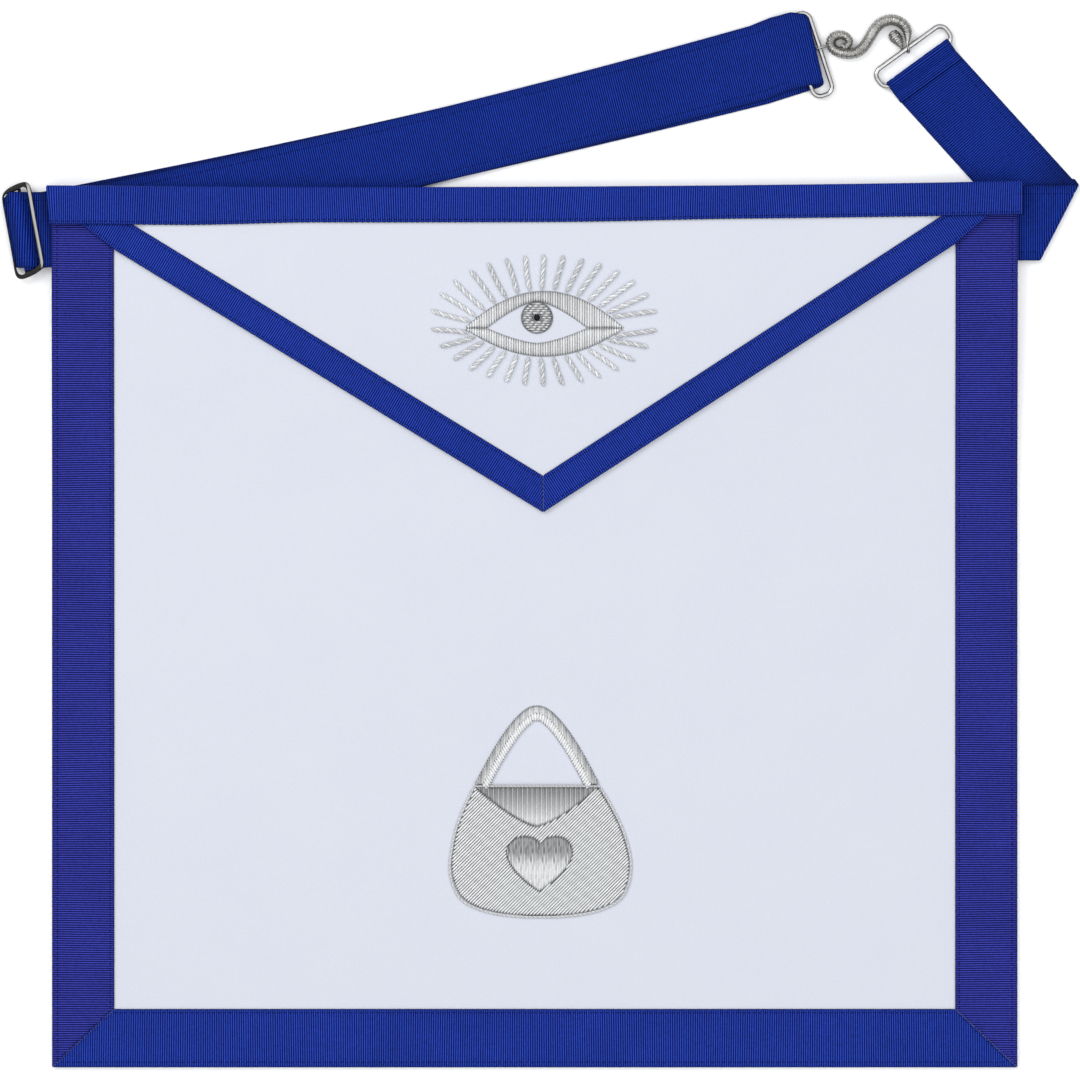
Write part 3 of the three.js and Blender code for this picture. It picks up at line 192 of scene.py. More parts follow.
@dataclass(frozen=True)
class ApronPlan:
    """Sizes that the pieces share, and the heights of the layers."""

    width: float = 406.4
    height: float = 371.2
    top_rise: float = 1.8
    top_sag: float = 1.4
    panel_thick: float = 1.2
    flap_thick: float = 1.0
    ribbon_thick: float = 1.0
    gap: float = 0.2
    side_width: float = 26.2
    bottom_width: float = 24.6
    binding_width: float = 15.0
    step_run: float = 5.0
    step_clear: float = 0.6
    drape_low: float = 234.725
    drape_high: float = 334.725
    lift: float = 4.8
    ripple: float = 0.45
    flap_depth: float = 137.1
    flap_shift: float = 3.6
    flap_ribbon: float = 12.7
    binding_line: float = 168.6
    left_drop: float = 1.3
    right_rise: float = 0.8

    @property
    def half(self) -> float:
        """Half the apron's width."""
        return self.width / 2.0

    @property
    def border_line(self) -> float:
        """Distance of the side borders' inner edges from the middle."""
        return self.half - self.side_width

    @property
    def point(self) -> Array:
        """The flap's point."""
        return np.array([self.flap_shift, self.height - self.flap_depth])

    def top_edge(self, x: Array) -> Array:
        """Returns the height of the top edge in the plan, at places across."""
        across = x / self.half
        middle = self.height + self.top_rise / 2.0 - self.top_sag
        return middle + self.top_rise / 2.0 * across + self.top_sag * across**2

    def binding_low(self, x: Array) -> Array:
        """Returns the height of the binding's lower edge in the plan, which drops at the left."""
        uneven = self.left_drop * smooth((-90.0 - x) / 60.0) - self.right_rise * smooth((x - 10.0) / 80.0)
        return self.top_edge(x) - self.binding_width - uneven

    def waves(self, x: Array, y: Array) -> Array:
        """Returns the slow unevenness of soft leather that lies on a table."""
        first = np.sin(x / 31.0 + 0.7 * np.sin(y / 47.0)) * np.sin(y / 38.0 + 0.4)
        second = np.sin((x + 0.6 * y) / 23.0 + 1.3) * np.sin((y - 0.3 * x) / 57.0)
        return self.ripple * (0.5 + 0.32 * first + 0.18 * second)

    def base(self, x: Array, y: Array) -> Array:
        """Returns the height of the panel's underside."""
        share = (y - self.drape_low) / (self.drape_high - self.drape_low)
        return self.lift * smooth(share) + self.waves(x, y) * (1.0 - 0.6 * smooth(share))

    def climb(self, x: Array, line: float) -> Array:
        """Returns how far a layer has climbed over the edge of the one below, from 0 to 1."""
        return smooth((np.abs(x) - line + self.step_clear + self.step_run) / self.step_run)

    def panel_top(self, x: Array, y: Array) -> Array:
        """Returns the height at which a ribbon lies on the panel."""
        return self.base(x, y) + self.panel_thick + 0.3 * self.gap

    def flap_low(self, x: Array, y: Array) -> Array:
        """Returns the height of the flap's underside."""
        step = self.ribbon_thick + self.gap
        return self.base(x, y) + self.panel_thick + self.gap + step * self.climb(x, self.border_line)

    def flap_top(self, x: Array, y: Array) -> Array:
        """Returns the height at which a ribbon or embroidery lies on the flap."""
        return self.flap_low(x, y) + self.flap_thick + 0.3 * self.gap

    def binding_front(self, x: Array) -> Array:
        """Returns the height of the middle of the binding's front leaf."""
        y = np.full_like(x, self.height)
        step = (self.ribbon_thick + self.gap) * self.climb(x, self.binding_line)
        return self.flap_low(x, y) + self.flap_thick + self.gap + step + self.ribbon_thick / 2.0


PLAN = ApronPlan()


class RowFrame:
    """Moves plan millimetres to the shared frame's metres."""

    shift = np.zeros(3)

    @classmethod
    def find(cls) -> None:
        """Reads the shift from the bottom border, whose corner has a known place in the plan."""
        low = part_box("bottom_border")[0]
        cls.shift = np.array([low[0] * 1000.0 + PLAN.half, low[1] * 1000.0, 0.0])

    @classmethod
    def metres(cls, points: Array) -> Array:
        """Returns plan points in the shared frame."""
        return (points + cls.shift) / 1000.0


# Meshes


def closed_faces(rows: int, columns: int) -> Array:
    """Returns the quads of a closed slab whose second grid of points follows its first.

    Args:
        rows: Rows of points in each grid.
        columns: Points in each row.

    Returns:
        Four point numbers for each quad.
    """
    count = rows * columns
    up = np.arange(count).reshape(rows, columns)
    low = up + count
    top = joined(up[:-1, :-1], up[1:, :-1], up[1:, 1:], up[:-1, 1:])
    bottom = joined(low[:-1, :-1], low[:-1, 1:], low[1:, 1:], low[1:, :-1])
    rim = np.concatenate([up[:, 0], up[-1, 1:], up[::-1, -1][1:], up[0, ::-1][1:-1]])
    after = np.roll(rim, -1)
    side = joined(after, rim, rim + count, after + count)
    return np.concatenate([top.reshape(-1, 4), bottom.reshape(-1, 4), side])


def ring_quads(rows: int, sides: int, closed: bool) -> Array:
    """Returns the quads between rings of points in a row, whose last may join the first.

    Args:
        rows: Number of rings.
        sides: Points in each ring.
        closed: Whether the last ring joins the first.

    Returns:
        Four point numbers for each quad.
    """
    number = np.arange(rows * sides).reshape(rows, sides)
    ahead = np.roll(number, -1, axis=0) if closed else number[1:]
    here = number if closed else number[:-1]
    return joined(here, np.roll(here, -1, axis=1), np.roll(ahead, -1, axis=1), ahead).reshape(-1, 4)


def signed_volume(points: Array, quads: Array) -> float:
    """Returns six times the volume inside a closed mesh of quads, negative when it is inside out."""
    a, b, c, d = (points[quads[:, k]] for k in range(4))
    first = np.einsum("ij,ij->i", a, np.cross(b, c)).sum()
    return float(first + np.einsum("ij,ij->i", a, np.cross(c, d)).sum())


def stand(name: str, data: bpy.types.ID) -> Piece:
    """Puts an object with its data in the scene, and returns it."""
    made = bpy.data.objects.new(name, data)
    bpy.context.scene.collection.objects.link(made)
    return made


@dataclass
class MeshParts:
    """Points, quads, end caps and weave coordinates that make one mesh."""

    points: list[Array] = field(default_factory=list)
    quads: list[Array] = field(default_factory=list)
    caps: list[list[int]] = field(default_factory=list)
    weave: list[Array] = field(default_factory=list)
    count: int = 0

    def add(self, points: Array, quads: Array, weave: Array, caps: Sequence = ()) -> None:
        """Adds one closed shell.

        Args:
            points: Its points, in plan millimetres.
            quads: Its quads, numbered from its own first point.
            weave: Distance across, distance along and shade for each point.
            caps: Faces with more sides that close its ends.
        """
        if signed_volume(points - points.mean(axis=0), quads) < 0.0:
            quads = quads[:, ::-1]
            caps = [list(cap)[::-1] for cap in caps]
        self.points.append(points)
        self.quads.append(quads + self.count)
        self.caps.extend([[int(i) + self.count for i in cap] for cap in caps])
        self.weave.append(weave)
        self.count += len(points)

    def slab(self, upper: Array, lower: Array, weave: Array) -> None:
        """Adds the closed shell between two grids of points with the same rows and columns.

        Args:
            upper: Rows and columns of points on top.
            lower: The same under them.
            weave: Distance across, distance along and shade for each point of a grid.
        """
        rows, columns = upper.shape[:2]
        points = np.concatenate([upper.reshape(-1, 3), lower.reshape(-1, 3)])
        both = np.concatenate([weave.reshape(-1, 3)] * 2)
        self.add(points, closed_faces(rows, columns), both)

    def tube(
        self, path: Array, radii: Array | float, sides: int, shade: Array | float = 0.5, closed: bool = False,
        upright: bool = True, relief: Callable[[Array, Array], Array] | None = None,
    ) -> None:
        """Adds a round tube along a path.

        Args:
            path: The middle line.
            radii: One radius, or one for each point of the path.
            sides: Number of faces round it.
            shade: Brightness of its thread, one or one for each point.
            closed: Whether the path joins its own start.
            upright: Whether each ring is set square to the table, for a path that never stands up.
            relief: Radius factor for a distance along and an angle, for ridges and scales.
        """
        count = len(path)
        if closed:
            tangent = unit(np.roll(path, -1, axis=0) - np.roll(path, 1, axis=0))
        else:
            tangent = unit(np.gradient(path, axis=0))
        sideways = np.cross(UP, tangent)
        if not upright:
            carried = sideways[0]
            for i in range(count):
                carried = carried - tangent[i] * float(carried @ tangent[i])
                carried = carried / max(float(np.linalg.norm(carried)), 1e-9)
                sideways[i] = carried
        sideways = unit(sideways)
        other = np.cross(tangent, sideways)
        angles = tau * np.arange(sides) / sides
        done = lengths_along(path)
        size = np.broadcast_to(np.asarray(radii, dtype=float), (count,))[:, None]
        if relief is not None:
            size = size * relief(done[:, None], angles[None, :])
        rings = (
            path[:, None]
            + (size * np.cos(angles))[..., None] * sideways[:, None]
            + (size * np.sin(angles))[..., None] * other[:, None]
        )
        end = np.arange(sides)
        caps = [] if closed else [end[::-1], end + (count - 1) * sides]
        bright = np.broadcast_to(np.asarray(shade, dtype=float), (count,))[:, None]
        weave = joined(angles, done[:, None], bright)
        self.add(rings.reshape(-1, 3), ring_quads(count, sides, closed), weave.reshape(-1, 3), caps)

    def piece(self, name: str) -> Piece:
        """Makes the Blender object of what was added, and returns it."""
        points = RowFrame.metres(np.concatenate(self.points))
        mesh = bpy.data.meshes.new(name)
        mesh.from_pydata(points.tolist(), [], np.concatenate(self.quads).tolist() + self.caps)
        layer = mesh.attributes.new(WEAVE, "FLOAT_VECTOR", "POINT")
        layer.data.foreach_set("vector", np.concatenate(self.weave).astype(np.float32).ravel())
        mesh.shade_smooth()
        return stand(name, mesh)


def trim(piece: Piece, planes: Iterable[tuple[Sequence[float], Sequence[float]]]) -> None:
    """Cuts a closed piece along upright planes and closes each cut.

    Args:
        piece: The piece to cut.
        planes: A point in the plan for each plane, and the direction that is cut away.
    """
    work = bmesh.new()
    work.from_mesh(piece.data)
    for (x, y), (across, up) in planes:
        place = RowFrame.metres(np.array([x, y, 0.0]))
        geometry = list(work.verts) + list(work.edges) + list(work.faces)
        cut = bmesh.ops.bisect_plane(
            work, geom=geometry, dist=1e-7, plane_co=Vector(place),
            plane_no=Vector((across, up, 0.0)).normalized(), clear_outer=True,
        )
        rim = [e for e in cut["geom_cut"] if isinstance(e, bmesh.types.BMEdge) and e.is_boundary]
        bmesh.ops.holes_fill(work, edges=rim, sides=0)
    bmesh.ops.recalc_face_normals(work, faces=work.faces)
    work.to_mesh(piece.data)
    work.free()


# Finishes


class NodeDesk:
    """Writes the nodes of one material."""

    def __init__(self, name: str) -> None:
        """Starts a material that holds a shader and an output."""
        self.material = bpy.data.materials.new(name)
        self.material.use_nodes = True
        self.tree = self.material.node_tree
        self.tree.nodes.clear()
        self.shader = self.node("BsdfPrincipled")
        output = self.node("OutputMaterial")
        self.tree.links.new(self.shader.outputs["BSDF"], output.inputs["Surface"])

    def feed(self, socket: Socket, value: object) -> None:
        """Links a socket into an input, or sets the input's own value."""
        if isinstance(value, Socket):
            self.tree.links.new(value, socket)
        else:
            socket.default_value = value

    def node(self, kind: str, inputs: dict | None = None, **settings: object) -> bpy.types.Node:
        """Adds a node of a kind, with its settings and inputs, and returns it.

        Args:
            kind: The node type after ShaderNode.
            inputs: Values or sockets for its inputs.
            settings: The node's own settings.

        Returns:
            The node.
        """
        made = self.tree.nodes.new("ShaderNode" + kind)
        for key, value in settings.items():
            setattr(made, key, value)
        for key, value in (inputs or {}).items():
            self.feed(made.inputs[key], value)
        return made

    def shade(self, **values: object) -> None:
        """Sets inputs of the shader, with their names' spaces written as underscores."""
        for key, value in values.items():
            self.feed(self.shader.inputs[key.replace("_", " ")], value)

    def math(self, operation: str, *values: object) -> Socket:
        """Adds a Math node and returns its result."""
        made = self.node("Math", operation=operation)
        for socket, value in zip(made.inputs, values):
            self.feed(socket, value)
        return made.outputs[0]

    def product(self, first: object, second: object) -> Socket:
        """Returns the product of two values."""
        return self.math("MULTIPLY", first, second)

    def mix(self, factor: Socket, first: Colour, second: Colour) -> Socket:
        """Mixes two colours and returns the result."""
        inputs = {0: factor, 6: (*first, 1.0), 7: (*second, 1.0)}
        return self.node("Mix", inputs, data_type="RGBA").outputs[2]

    def toned(self, tone: Socket, value: Socket) -> Socket:
        """Returns a colour whose brightness is multiplied by a value."""
        return self.node("HueSaturation", {"Color": tone, "Value": value}).outputs[0]

    def place(self) -> Socket:
        """Returns the place on the object, in metres."""
        return self.node("TexCoord").outputs["Object"]

    def weave(self) -> tuple[Socket, ...]:
        """Returns the distance across, the distance along and the shade of a thread or ribbon."""
        read = self.node("Attribute", attribute_name=WEAVE)
        parts = self.node("SeparateXYZ", {"Vector": read.outputs["Vector"]})
        return tuple(parts.outputs)

    def noise(self, size_mm: float, detail: float = 3.0, rough: float = 0.5) -> Socket:
        """Returns noise from 0 to 1 whose lumps have about the given size."""
        inputs = {"Vector": self.place(), "Scale": 1000.0 / size_mm, "Detail": detail, "Roughness": rough}
        return self.node("TexNoise", inputs).outputs[0]

    def wave(self, distance: Socket, pitch: float) -> Socket:
        """Returns a wave from 0 to 1 that is 0 at every whole pitch."""
        turn = self.math("MULTIPLY", distance, tau / pitch)
        return self.math("MULTIPLY_ADD", self.math("COSINE", turn), -0.5, 0.5)

    def spread(self, value: Socket, low: float, high: float) -> Socket:
        """Returns a value of 0 to 1 moved to the range from low to high."""
        return self.math("MULTIPLY_ADD", value, high - low, low)

    def relief(self, height: Socket, depth_mm: float, strength: float = 1.0) -> None:
        """Raises the surface by a height of 0 to 1 times a depth."""
        inputs = {"Height": height, "Distance": depth_mm / 1000.0, "Strength": strength}
        bump = self.node("Bump", inputs)
        self.feed(self.shader.inputs["Normal"], bump.outputs["Normal"])


@dataclass(frozen=True)
class Grosgrain:
    """Ribbed ribbon or webbing. Its ribs follow the weave coordinates."""

    name: str
    # ridge is the colour of the ribs' tops, lightened as a painted highlight; groove is the colour between
    # them, darkened as painted shade.
    ridge: Colour
    groove: Colour
    pitch: float = 0.95
    thread: float = 0.3
    rough: float = 0.62

    def material(self) -> Material:
        """Returns a material with ribs, fine lengthwise threads and slow changes of tone; the ribs' tops
        carry a painted highlight and the grooves painted shade.
        """
        desk = NodeDesk(self.name)
        across, along, inside = desk.weave()
        rib = desk.wave(along, self.pitch)
        thread = desk.wave(across, self.thread)
        fibre = desk.noise(0.35, 2.0)
        # Painted highlight on each rib's narrow top and painted shade in the groove between ribs.
        tone = desk.mix(desk.math("POWER", rib, 2.2), self.groove, self.ridge)
        slow = desk.spread(desk.noise(26.0, 2.0), 0.84, 1.16)
        streak = desk.spread(desk.noise(1.4, 2.0), 0.7, 1.3)
        fine = desk.product(desk.spread(fibre, 0.8, 1.2), streak)
        # inside carries painted shade: darker along ribbon edges and in the straps' painted shadows.
        value = desk.product(desk.product(slow, fine), desk.spread(inside, 0.35, 1.0))
        desk.shade(
            Base_Color=desk.toned(tone, value), Roughness=desk.spread(rib, self.rough + 0.14, self.rough),
            Sheen_Weight=0.01, Sheen_Roughness=0.4, Specular_IOR_Level=0.06,
        )
        height = desk.math("MULTIPLY_ADD", thread, 0.5, desk.product(fibre, 0.5))
        desk.relief(height, 0.05)
        return desk.material


@dataclass(frozen=True)
class Lambskin:
    """Fine white leather."""

    name: str
    light: Colour
    dark: Colour
    grain: float = 1.1

    def material(self) -> Material:
        """Returns a material with small grain cells, creases and faint clouds of tone."""
        desk = NodeDesk(self.name)
        bent = desk.node("VectorMath", operation="MULTIPLY_ADD")
        desk.feed(bent.inputs[0], desk.node(
            "TexNoise", {"Vector": desk.place(), "Scale": 500.0, "Detail": 2.0}).outputs[1])
        bent.inputs[1].default_value = (0.0009, 0.0009, 0.0009)
        desk.feed(bent.inputs[2], desk.place())
        cells = desk.node(
            "TexVoronoi", {"Vector": bent.outputs[0], "Scale": 1000.0 / self.grain},
            feature="DISTANCE_TO_EDGE",
        ).outputs["Distance"]
        plateau = desk.math("MINIMUM", desk.product(cells, 3.2), 1.0)
        clouds = desk.noise(38.0, 3.0)
        pores = desk.noise(0.5, 3.0)
        tone = desk.mix(clouds, self.dark, self.light)
        value = desk.product(desk.spread(plateau, 0.985, 1.0), desk.spread(pores, 0.98, 1.02))
        desk.shade(
            Base_Color=desk.toned(tone, value), Roughness=desk.spread(pores, 0.5, 0.68),
            Specular_IOR_Level=0.28,
        )
        folds = desk.noise(5.0, 3.0)
        height = desk.math("MULTIPLY_ADD", plateau, 0.35, desk.product(pores, 0.35))
        desk.relief(desk.math("MULTIPLY_ADD", folds, 1.6, height), 0.09)
        return desk.material


@dataclass(frozen=True)
class Plate:
    """Plated wire or casting."""

    name: str
    bright: Colour
    dull: Colour
    rough: float = 0.2
    lump: float = 0.6
    depth: float = 0.02

    def material(self) -> Material:
        """Returns a metal with faint wear in its tone, its gloss and its surface."""
        desk = NodeDesk(self.name)
        wear = desk.noise(1.6, 4.0, 0.6)
        sharp = desk.math("SMOOTH_MIN", desk.product(wear, 1.6), 1.0, 0.2)
        desk.shade(
            Base_Color=desk.mix(sharp, self.dull, self.bright), Metallic=1.0,
            Roughness=desk.spread(wear, self.rough + 0.1, self.rough - 0.03),
            Specular_Tint=(0.25, 0.25, 0.26, 1.0),
        )
        desk.relief(desk.noise(self.lump, 2.0), self.depth)
        return desk.material


@dataclass(frozen=True)
class Bullion:
    """Metal thread coiled into purl, as it is laid in raised embroidery."""

    name: str
    dark: Colour
    light: Colour
    coil: float = 0.42

    def material(self) -> Material:
        """Returns a material that takes its brightness from each thread's shade, with painted shade between
        the coil's turns.
        """
        desk = NodeDesk(self.name)
        _, along, shade = desk.weave()
        coil = desk.wave(along, self.coil)
        tone = desk.mix(shade, self.dark, self.light)
        spots = desk.spread(desk.noise(0.7, 3.0), 0.8, 1.2)
        # The coil's wave darkens the colour between turns: painted shade in the coil's grooves.
        value = desk.product(desk.spread(coil, 0.82, 1.08), spots)
        desk.shade(Base_Color=desk.toned(tone, value), Metallic=0.15, Roughness=desk.spread(coil, 0.5, 0.36))
        desk.relief(coil, 0.07)
        return desk.material


@dataclass(frozen=True)
class SewingThread:
    """Twisted sewing thread."""

    name: str
    light: Colour
    dark: Colour

    def material(self) -> Material:
        """Returns a soft thread with a slanted twist, darker in the twist's grooves as painted shade, with a
        random change of tone.
        """
        desk = NodeDesk(self.name)
        turn, along, _ = desk.weave()
        twist = desk.wave(desk.math("MULTIPLY_ADD", turn, 0.08, along), 0.45)
        # The twist darkens the colour in its grooves: painted shade, varied by noise.
        desk.shade(
            Base_Color=desk.mix(desk.product(twist, desk.noise(1.0)), self.dark, self.light),
            Roughness=desk.spread(twist, 0.85, 0.7), Specular_IOR_Level=0.08,
        )
        desk.relief(twist, 0.04)
        return desk.material


@dataclass(frozen=True)
class Bead:
    """Polished black glass."""

    name: str
    colour: Colour

    def material(self) -> Material:
        """Returns a dark gloss with faint marks."""
        desk = NodeDesk(self.name)
        marks = desk.noise(0.4, 3.0)
        desk.shade(
            Base_Color=desk.mix(marks, self.colour, (0.012, 0.012, 0.013)),
            Roughness=desk.spread(marks, 0.3, 0.45), Specular_IOR_Level=0.12,
        )
        return desk.material


@dataclass(frozen=True)
class Tabletop:
    """The pale surface under the apron."""

    name: str
    colour: Colour

    def material(self) -> Material:
        """Returns a plain matt white with the faintest unevenness."""
        desk = NodeDesk(self.name)
        desk.shade(Base_Color=desk.mix(desk.noise(400.0), self.colour, (0.96, 0.96, 0.96)), Roughness=0.9)
        return desk.material


class Finishes:
    """Every finish of the apron, made once."""

    def __init__(self) -> None:
        """Makes the materials."""
        self.leather = Lambskin("lambskin", (0.575, 0.592, 0.655), (0.55, 0.57, 0.638)).material()
        # For each ribbon and webbing, the first colour is the ribs' tops with a painted highlight and the
        # second the grooves with painted shade.
        self.ribbon = Grosgrain("grosgrain_top", (0.022, 0.061, 0.455), (0.001, 0.005, 0.08)).material()
        # The side borders are the same ribbon as the top, tinted violet as painted sheen of their ribs, which
        # run the other way.
        self.side = Grosgrain("grosgrain_side_sheen_tint", (0.048, 0.057, 0.40), (0.003, 0.004, 0.07)).material()
        self.belt = Grosgrain("belt_webbing", (0.009, 0.046, 0.365), (0.001, 0.003, 0.065)).material()
        self.thread = SewingThread("blue_thread", (0.010, 0.028, 0.24), (0.002, 0.006, 0.07)).material()
        self.hem_thread = SewingThread("navy_thread", (0.010, 0.026, 0.20), (0.001, 0.003, 0.04)).material()
        self.nickel = Plate("bright_nickel", (0.5, 0.49, 0.48), (0.26, 0.255, 0.25), 0.12).material()
        silver = Plate("cast_silver", (0.46, 0.45, 0.43), (0.12, 0.117, 0.11), 0.26, 0.35, 0.06)
        self.silver = silver.material()
        self.bullion = Bullion("silver_bullion", (0.055, 0.055, 0.056), (0.87, 0.872, 0.88)).material()
        self.bead = Bead("black_bead", (0.003, 0.003, 0.004)).material()
        self.table = Tabletop("white_table", (0.93, 0.93, 0.93)).material()


def dress(piece: Piece, material: Material, nodes: Sequence[str] = ()) -> Piece:
    """Gives a piece its finish and ties it to the model.

    Args:
        piece: The new piece.
        material: Its finish.
        nodes: The solids that the piece stands for.

    Returns:
        The piece.
    """
    piece.data.materials.append(material)
    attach(piece, "root")
    if nodes:
        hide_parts(*nodes)
    LOG.info("%s: %d faces", piece.name, len(piece.data.polygons))
    return piece


@dataclass
class Work:
    """A maker of pieces, with every finish at hand."""

    finishes: Finishes

    def lay(self, made: MeshParts, name: str, node: str) -> None:
        """Makes a piece of bullion thread that stands for one solid."""
        dress(made.piece(name), self.finishes.bullion, [node])


# Ribbon and stitches


@dataclass(frozen=True)
class Rib:
    """The raised ribs of grosgrain."""

    pitch: float = 0.95
    height: float = 0.16
    samples: int = 3

    def rows(self, length: float) -> Array:
        """Returns the distances of the rows of points that draw the ribs."""
        return np.arange(0, int(length / self.pitch * self.samples) + 1) * (self.pitch / self.samples)

    def rise(self, along: Array) -> Array:
        """Returns the height of the ribs, from 0 in a groove down to minus their height."""
        return -self.height * (0.5 + 0.5 * np.cos(tau * along / self.pitch))


RIB = Rib()
EDGE_ROUND = 0.35
# Width of the painted shade along a ribbon's two edges.
EDGE_SHADE_WIDTH = 0.55
# The flap's corners on each side: distance from the middle, and depth, as shares.
FLAP_SIDES = {
    Hand.LEFT: ((-0.985, 0.0), (-0.985, 0.065), (-0.941, 0.114), (-0.866, 0.198)),
    Hand.RIGHT: ((0.867, 0.18), (0.931, 0.099), (0.985, 0.031), (0.985, 0.0)),
}


def rounded_edge(from_edge: Array, radius: float) -> Array:
    """Returns a ribbon's thickness as a share, at distances from its rounded edge."""
    return 0.4 + 0.6 * np.sqrt(bounded(1.0 - (1.0 - bounded(from_edge / radius)) ** 2))


def ribbon_columns(width: float, seams: Sequence[float], inner: int = 3) -> Array:
    """Returns the places across a ribbon that draw its rounded edges and its stitched grooves.

    Args:
        width: The ribbon's width.
        seams: Places of its seams across.
        inner: Number of places between its rounded edges.

    Returns:
        The places in order.
    """
    places = {0.0, 0.1, EDGE_ROUND, width - EDGE_ROUND, width - 0.1, width}
    places.update(np.linspace(EDGE_ROUND, width - EDGE_ROUND, inner + 2).tolist())
    for seam in seams:
        places.update((seam - 0.7, seam, seam + 0.7))
    ordered = sorted(places)
    kept = [ordered[0]]
    for place in ordered[1:]:
        if place - kept[-1] > 0.08:
            kept.append(place)
    kept[-1] = width
    return np.array(kept)


def edge_shade(across: Array, width: float) -> Array:
    """Returns how far a place on a ribbon is inside the painted shade along its two edges, from 0 to 1."""
    return smooth(np.minimum(across, width - across) / EDGE_SHADE_WIDTH)


def ribbon_profile(across: Array, width: float, seams: Sequence[float]) -> Array:
    """Returns a ribbon's thickness as a share, thin at its edges and pulled in at its seams."""
    share = rounded_edge(np.minimum(across, width - across), EDGE_ROUND)
    for seam in seams:
        share = share - 0.2 * np.exp(-(((across - seam) / 0.5) ** 2))
    return share


@dataclass(frozen=True)
class LaidRibbon:
    """A straight ribbon that lies on a surface, with its ribs across it."""

    start: Pair
    heading: float
    length: float
    width: float
    side: float
    surface: Height
    seams: tuple[float, ...]
    thick: float = 1.0
    flare_from: float = 1e9
    flare: float = 0.0

    def directions(self) -> tuple[Array, Array]:
        """Returns the direction along the ribbon and the one across it."""
        angle = radians(self.heading)
        along = np.array([cos(angle), sin(angle)])
        return along, self.side * np.array([-along[1], along[0]])

    def plan(self, along: Array, across: Array) -> Array:
        """Returns places in the plan for distances along and across.

        Past flare_from the ribbon's outer edge, at distance 0 across, leans out by the flare.
        """
        forward, sideways = self.directions()
        lean = self.flare * np.clip(along - self.flare_from, 0.0, None)
        moved = across - lean * (1.0 - across / self.width)
        return np.array(self.start) + along[..., None] * forward + moved[..., None] * sideways

    def build(self, name: str) -> Piece:
        """Makes the ribbon's mesh and returns its object."""
        rows = RIB.rows(self.length)
        columns = ribbon_columns(self.width, self.seams)
        along, across = np.meshgrid(rows, columns, indexing="ij")
        slow = 0.35 * np.sin(along / 21.0 + self.heading) * (across / self.width - 0.5)
        spots = self.plan(along + slow, across)
        share = ribbon_profile(across, self.width, self.seams)
        floor = self.surface(spots[..., 0], spots[..., 1])
        edge = bounded(share)
        top = floor + self.thick * share + RIB.rise(along) * edge
        upper = np.concatenate([spots, top[..., None]], axis=-1)
        lower = np.concatenate([spots, (floor + 0.12 * (1.0 - edge))[..., None]], axis=-1)
        made = MeshParts()
        # The weave's third value is painted shade that darkens the ribbon along both edges.
        made.slab(upper, lower, joined(across, along, edge_shade(across, self.width)))
        return made.piece(name)

    def seam_path(self, across: float, begin: float, end: float) -> Array:
        """Returns the line of a seam, on the ribbon's top.

        Args:
            across: Distance of the seam from the outer edge.
            begin: Distance along at which it starts.
            end: Distance along at which it ends.

        Returns:
            Points of the line.
        """
        along = np.linspace(begin, end, max(2, int((end - begin) / 4.0)))
        spots = self.plan(along, np.full_like(along, across))
        top = self.surface(spots[:, 0], spots[:, 1]) + self.thick * 0.8
        return np.concatenate([spots, top[:, None]], axis=1)


@dataclass(frozen=True)
class StitchStyle:
    """The size of a row's stitches, and the form of one from end to end."""

    spacing: float = 2.3
    length: float = 1.7
    width: float = 0.42
    sink: float = 0.22
    places: tuple[float, ...] = (-0.5, -0.32, 0.0, 0.32, 0.5)
    rises: tuple[float, ...] = (0.03, 0.1, 0.03)
    girths: tuple[float, ...] = (0.5, 0.95, 1.0, 0.95, 0.5)


def sew(made: MeshParts, path: Array, style: StitchStyle = StitchStyle(), up: Array | None = None) -> None:
    """Adds a row of stitches along a path.

    Args:
        made: The mesh that the stitches go to.
        path: The seam's line, on the surface.
        style: The size of the stitches.
        up: The surface's outward direction at each point of the path, if it isn't straight up.
    """
    both = np.concatenate([path, np.tile(UP, (len(path), 1)) if up is None else up], axis=1)
    lift = np.array([-style.sink, *style.rises, -style.sink])[:, None]
    for i in range(int(lengths_along(path)[-1] / style.spacing)):
        row = along_path(both, (i + 0.5) * style.spacing + np.array(style.places) * style.length)
        line = row[:, :3] + unit(row[:, 3:]) * lift
        made.tube(line, style.width / 2.0 * np.array(style.girths), 5)


# Leather, borders and binding


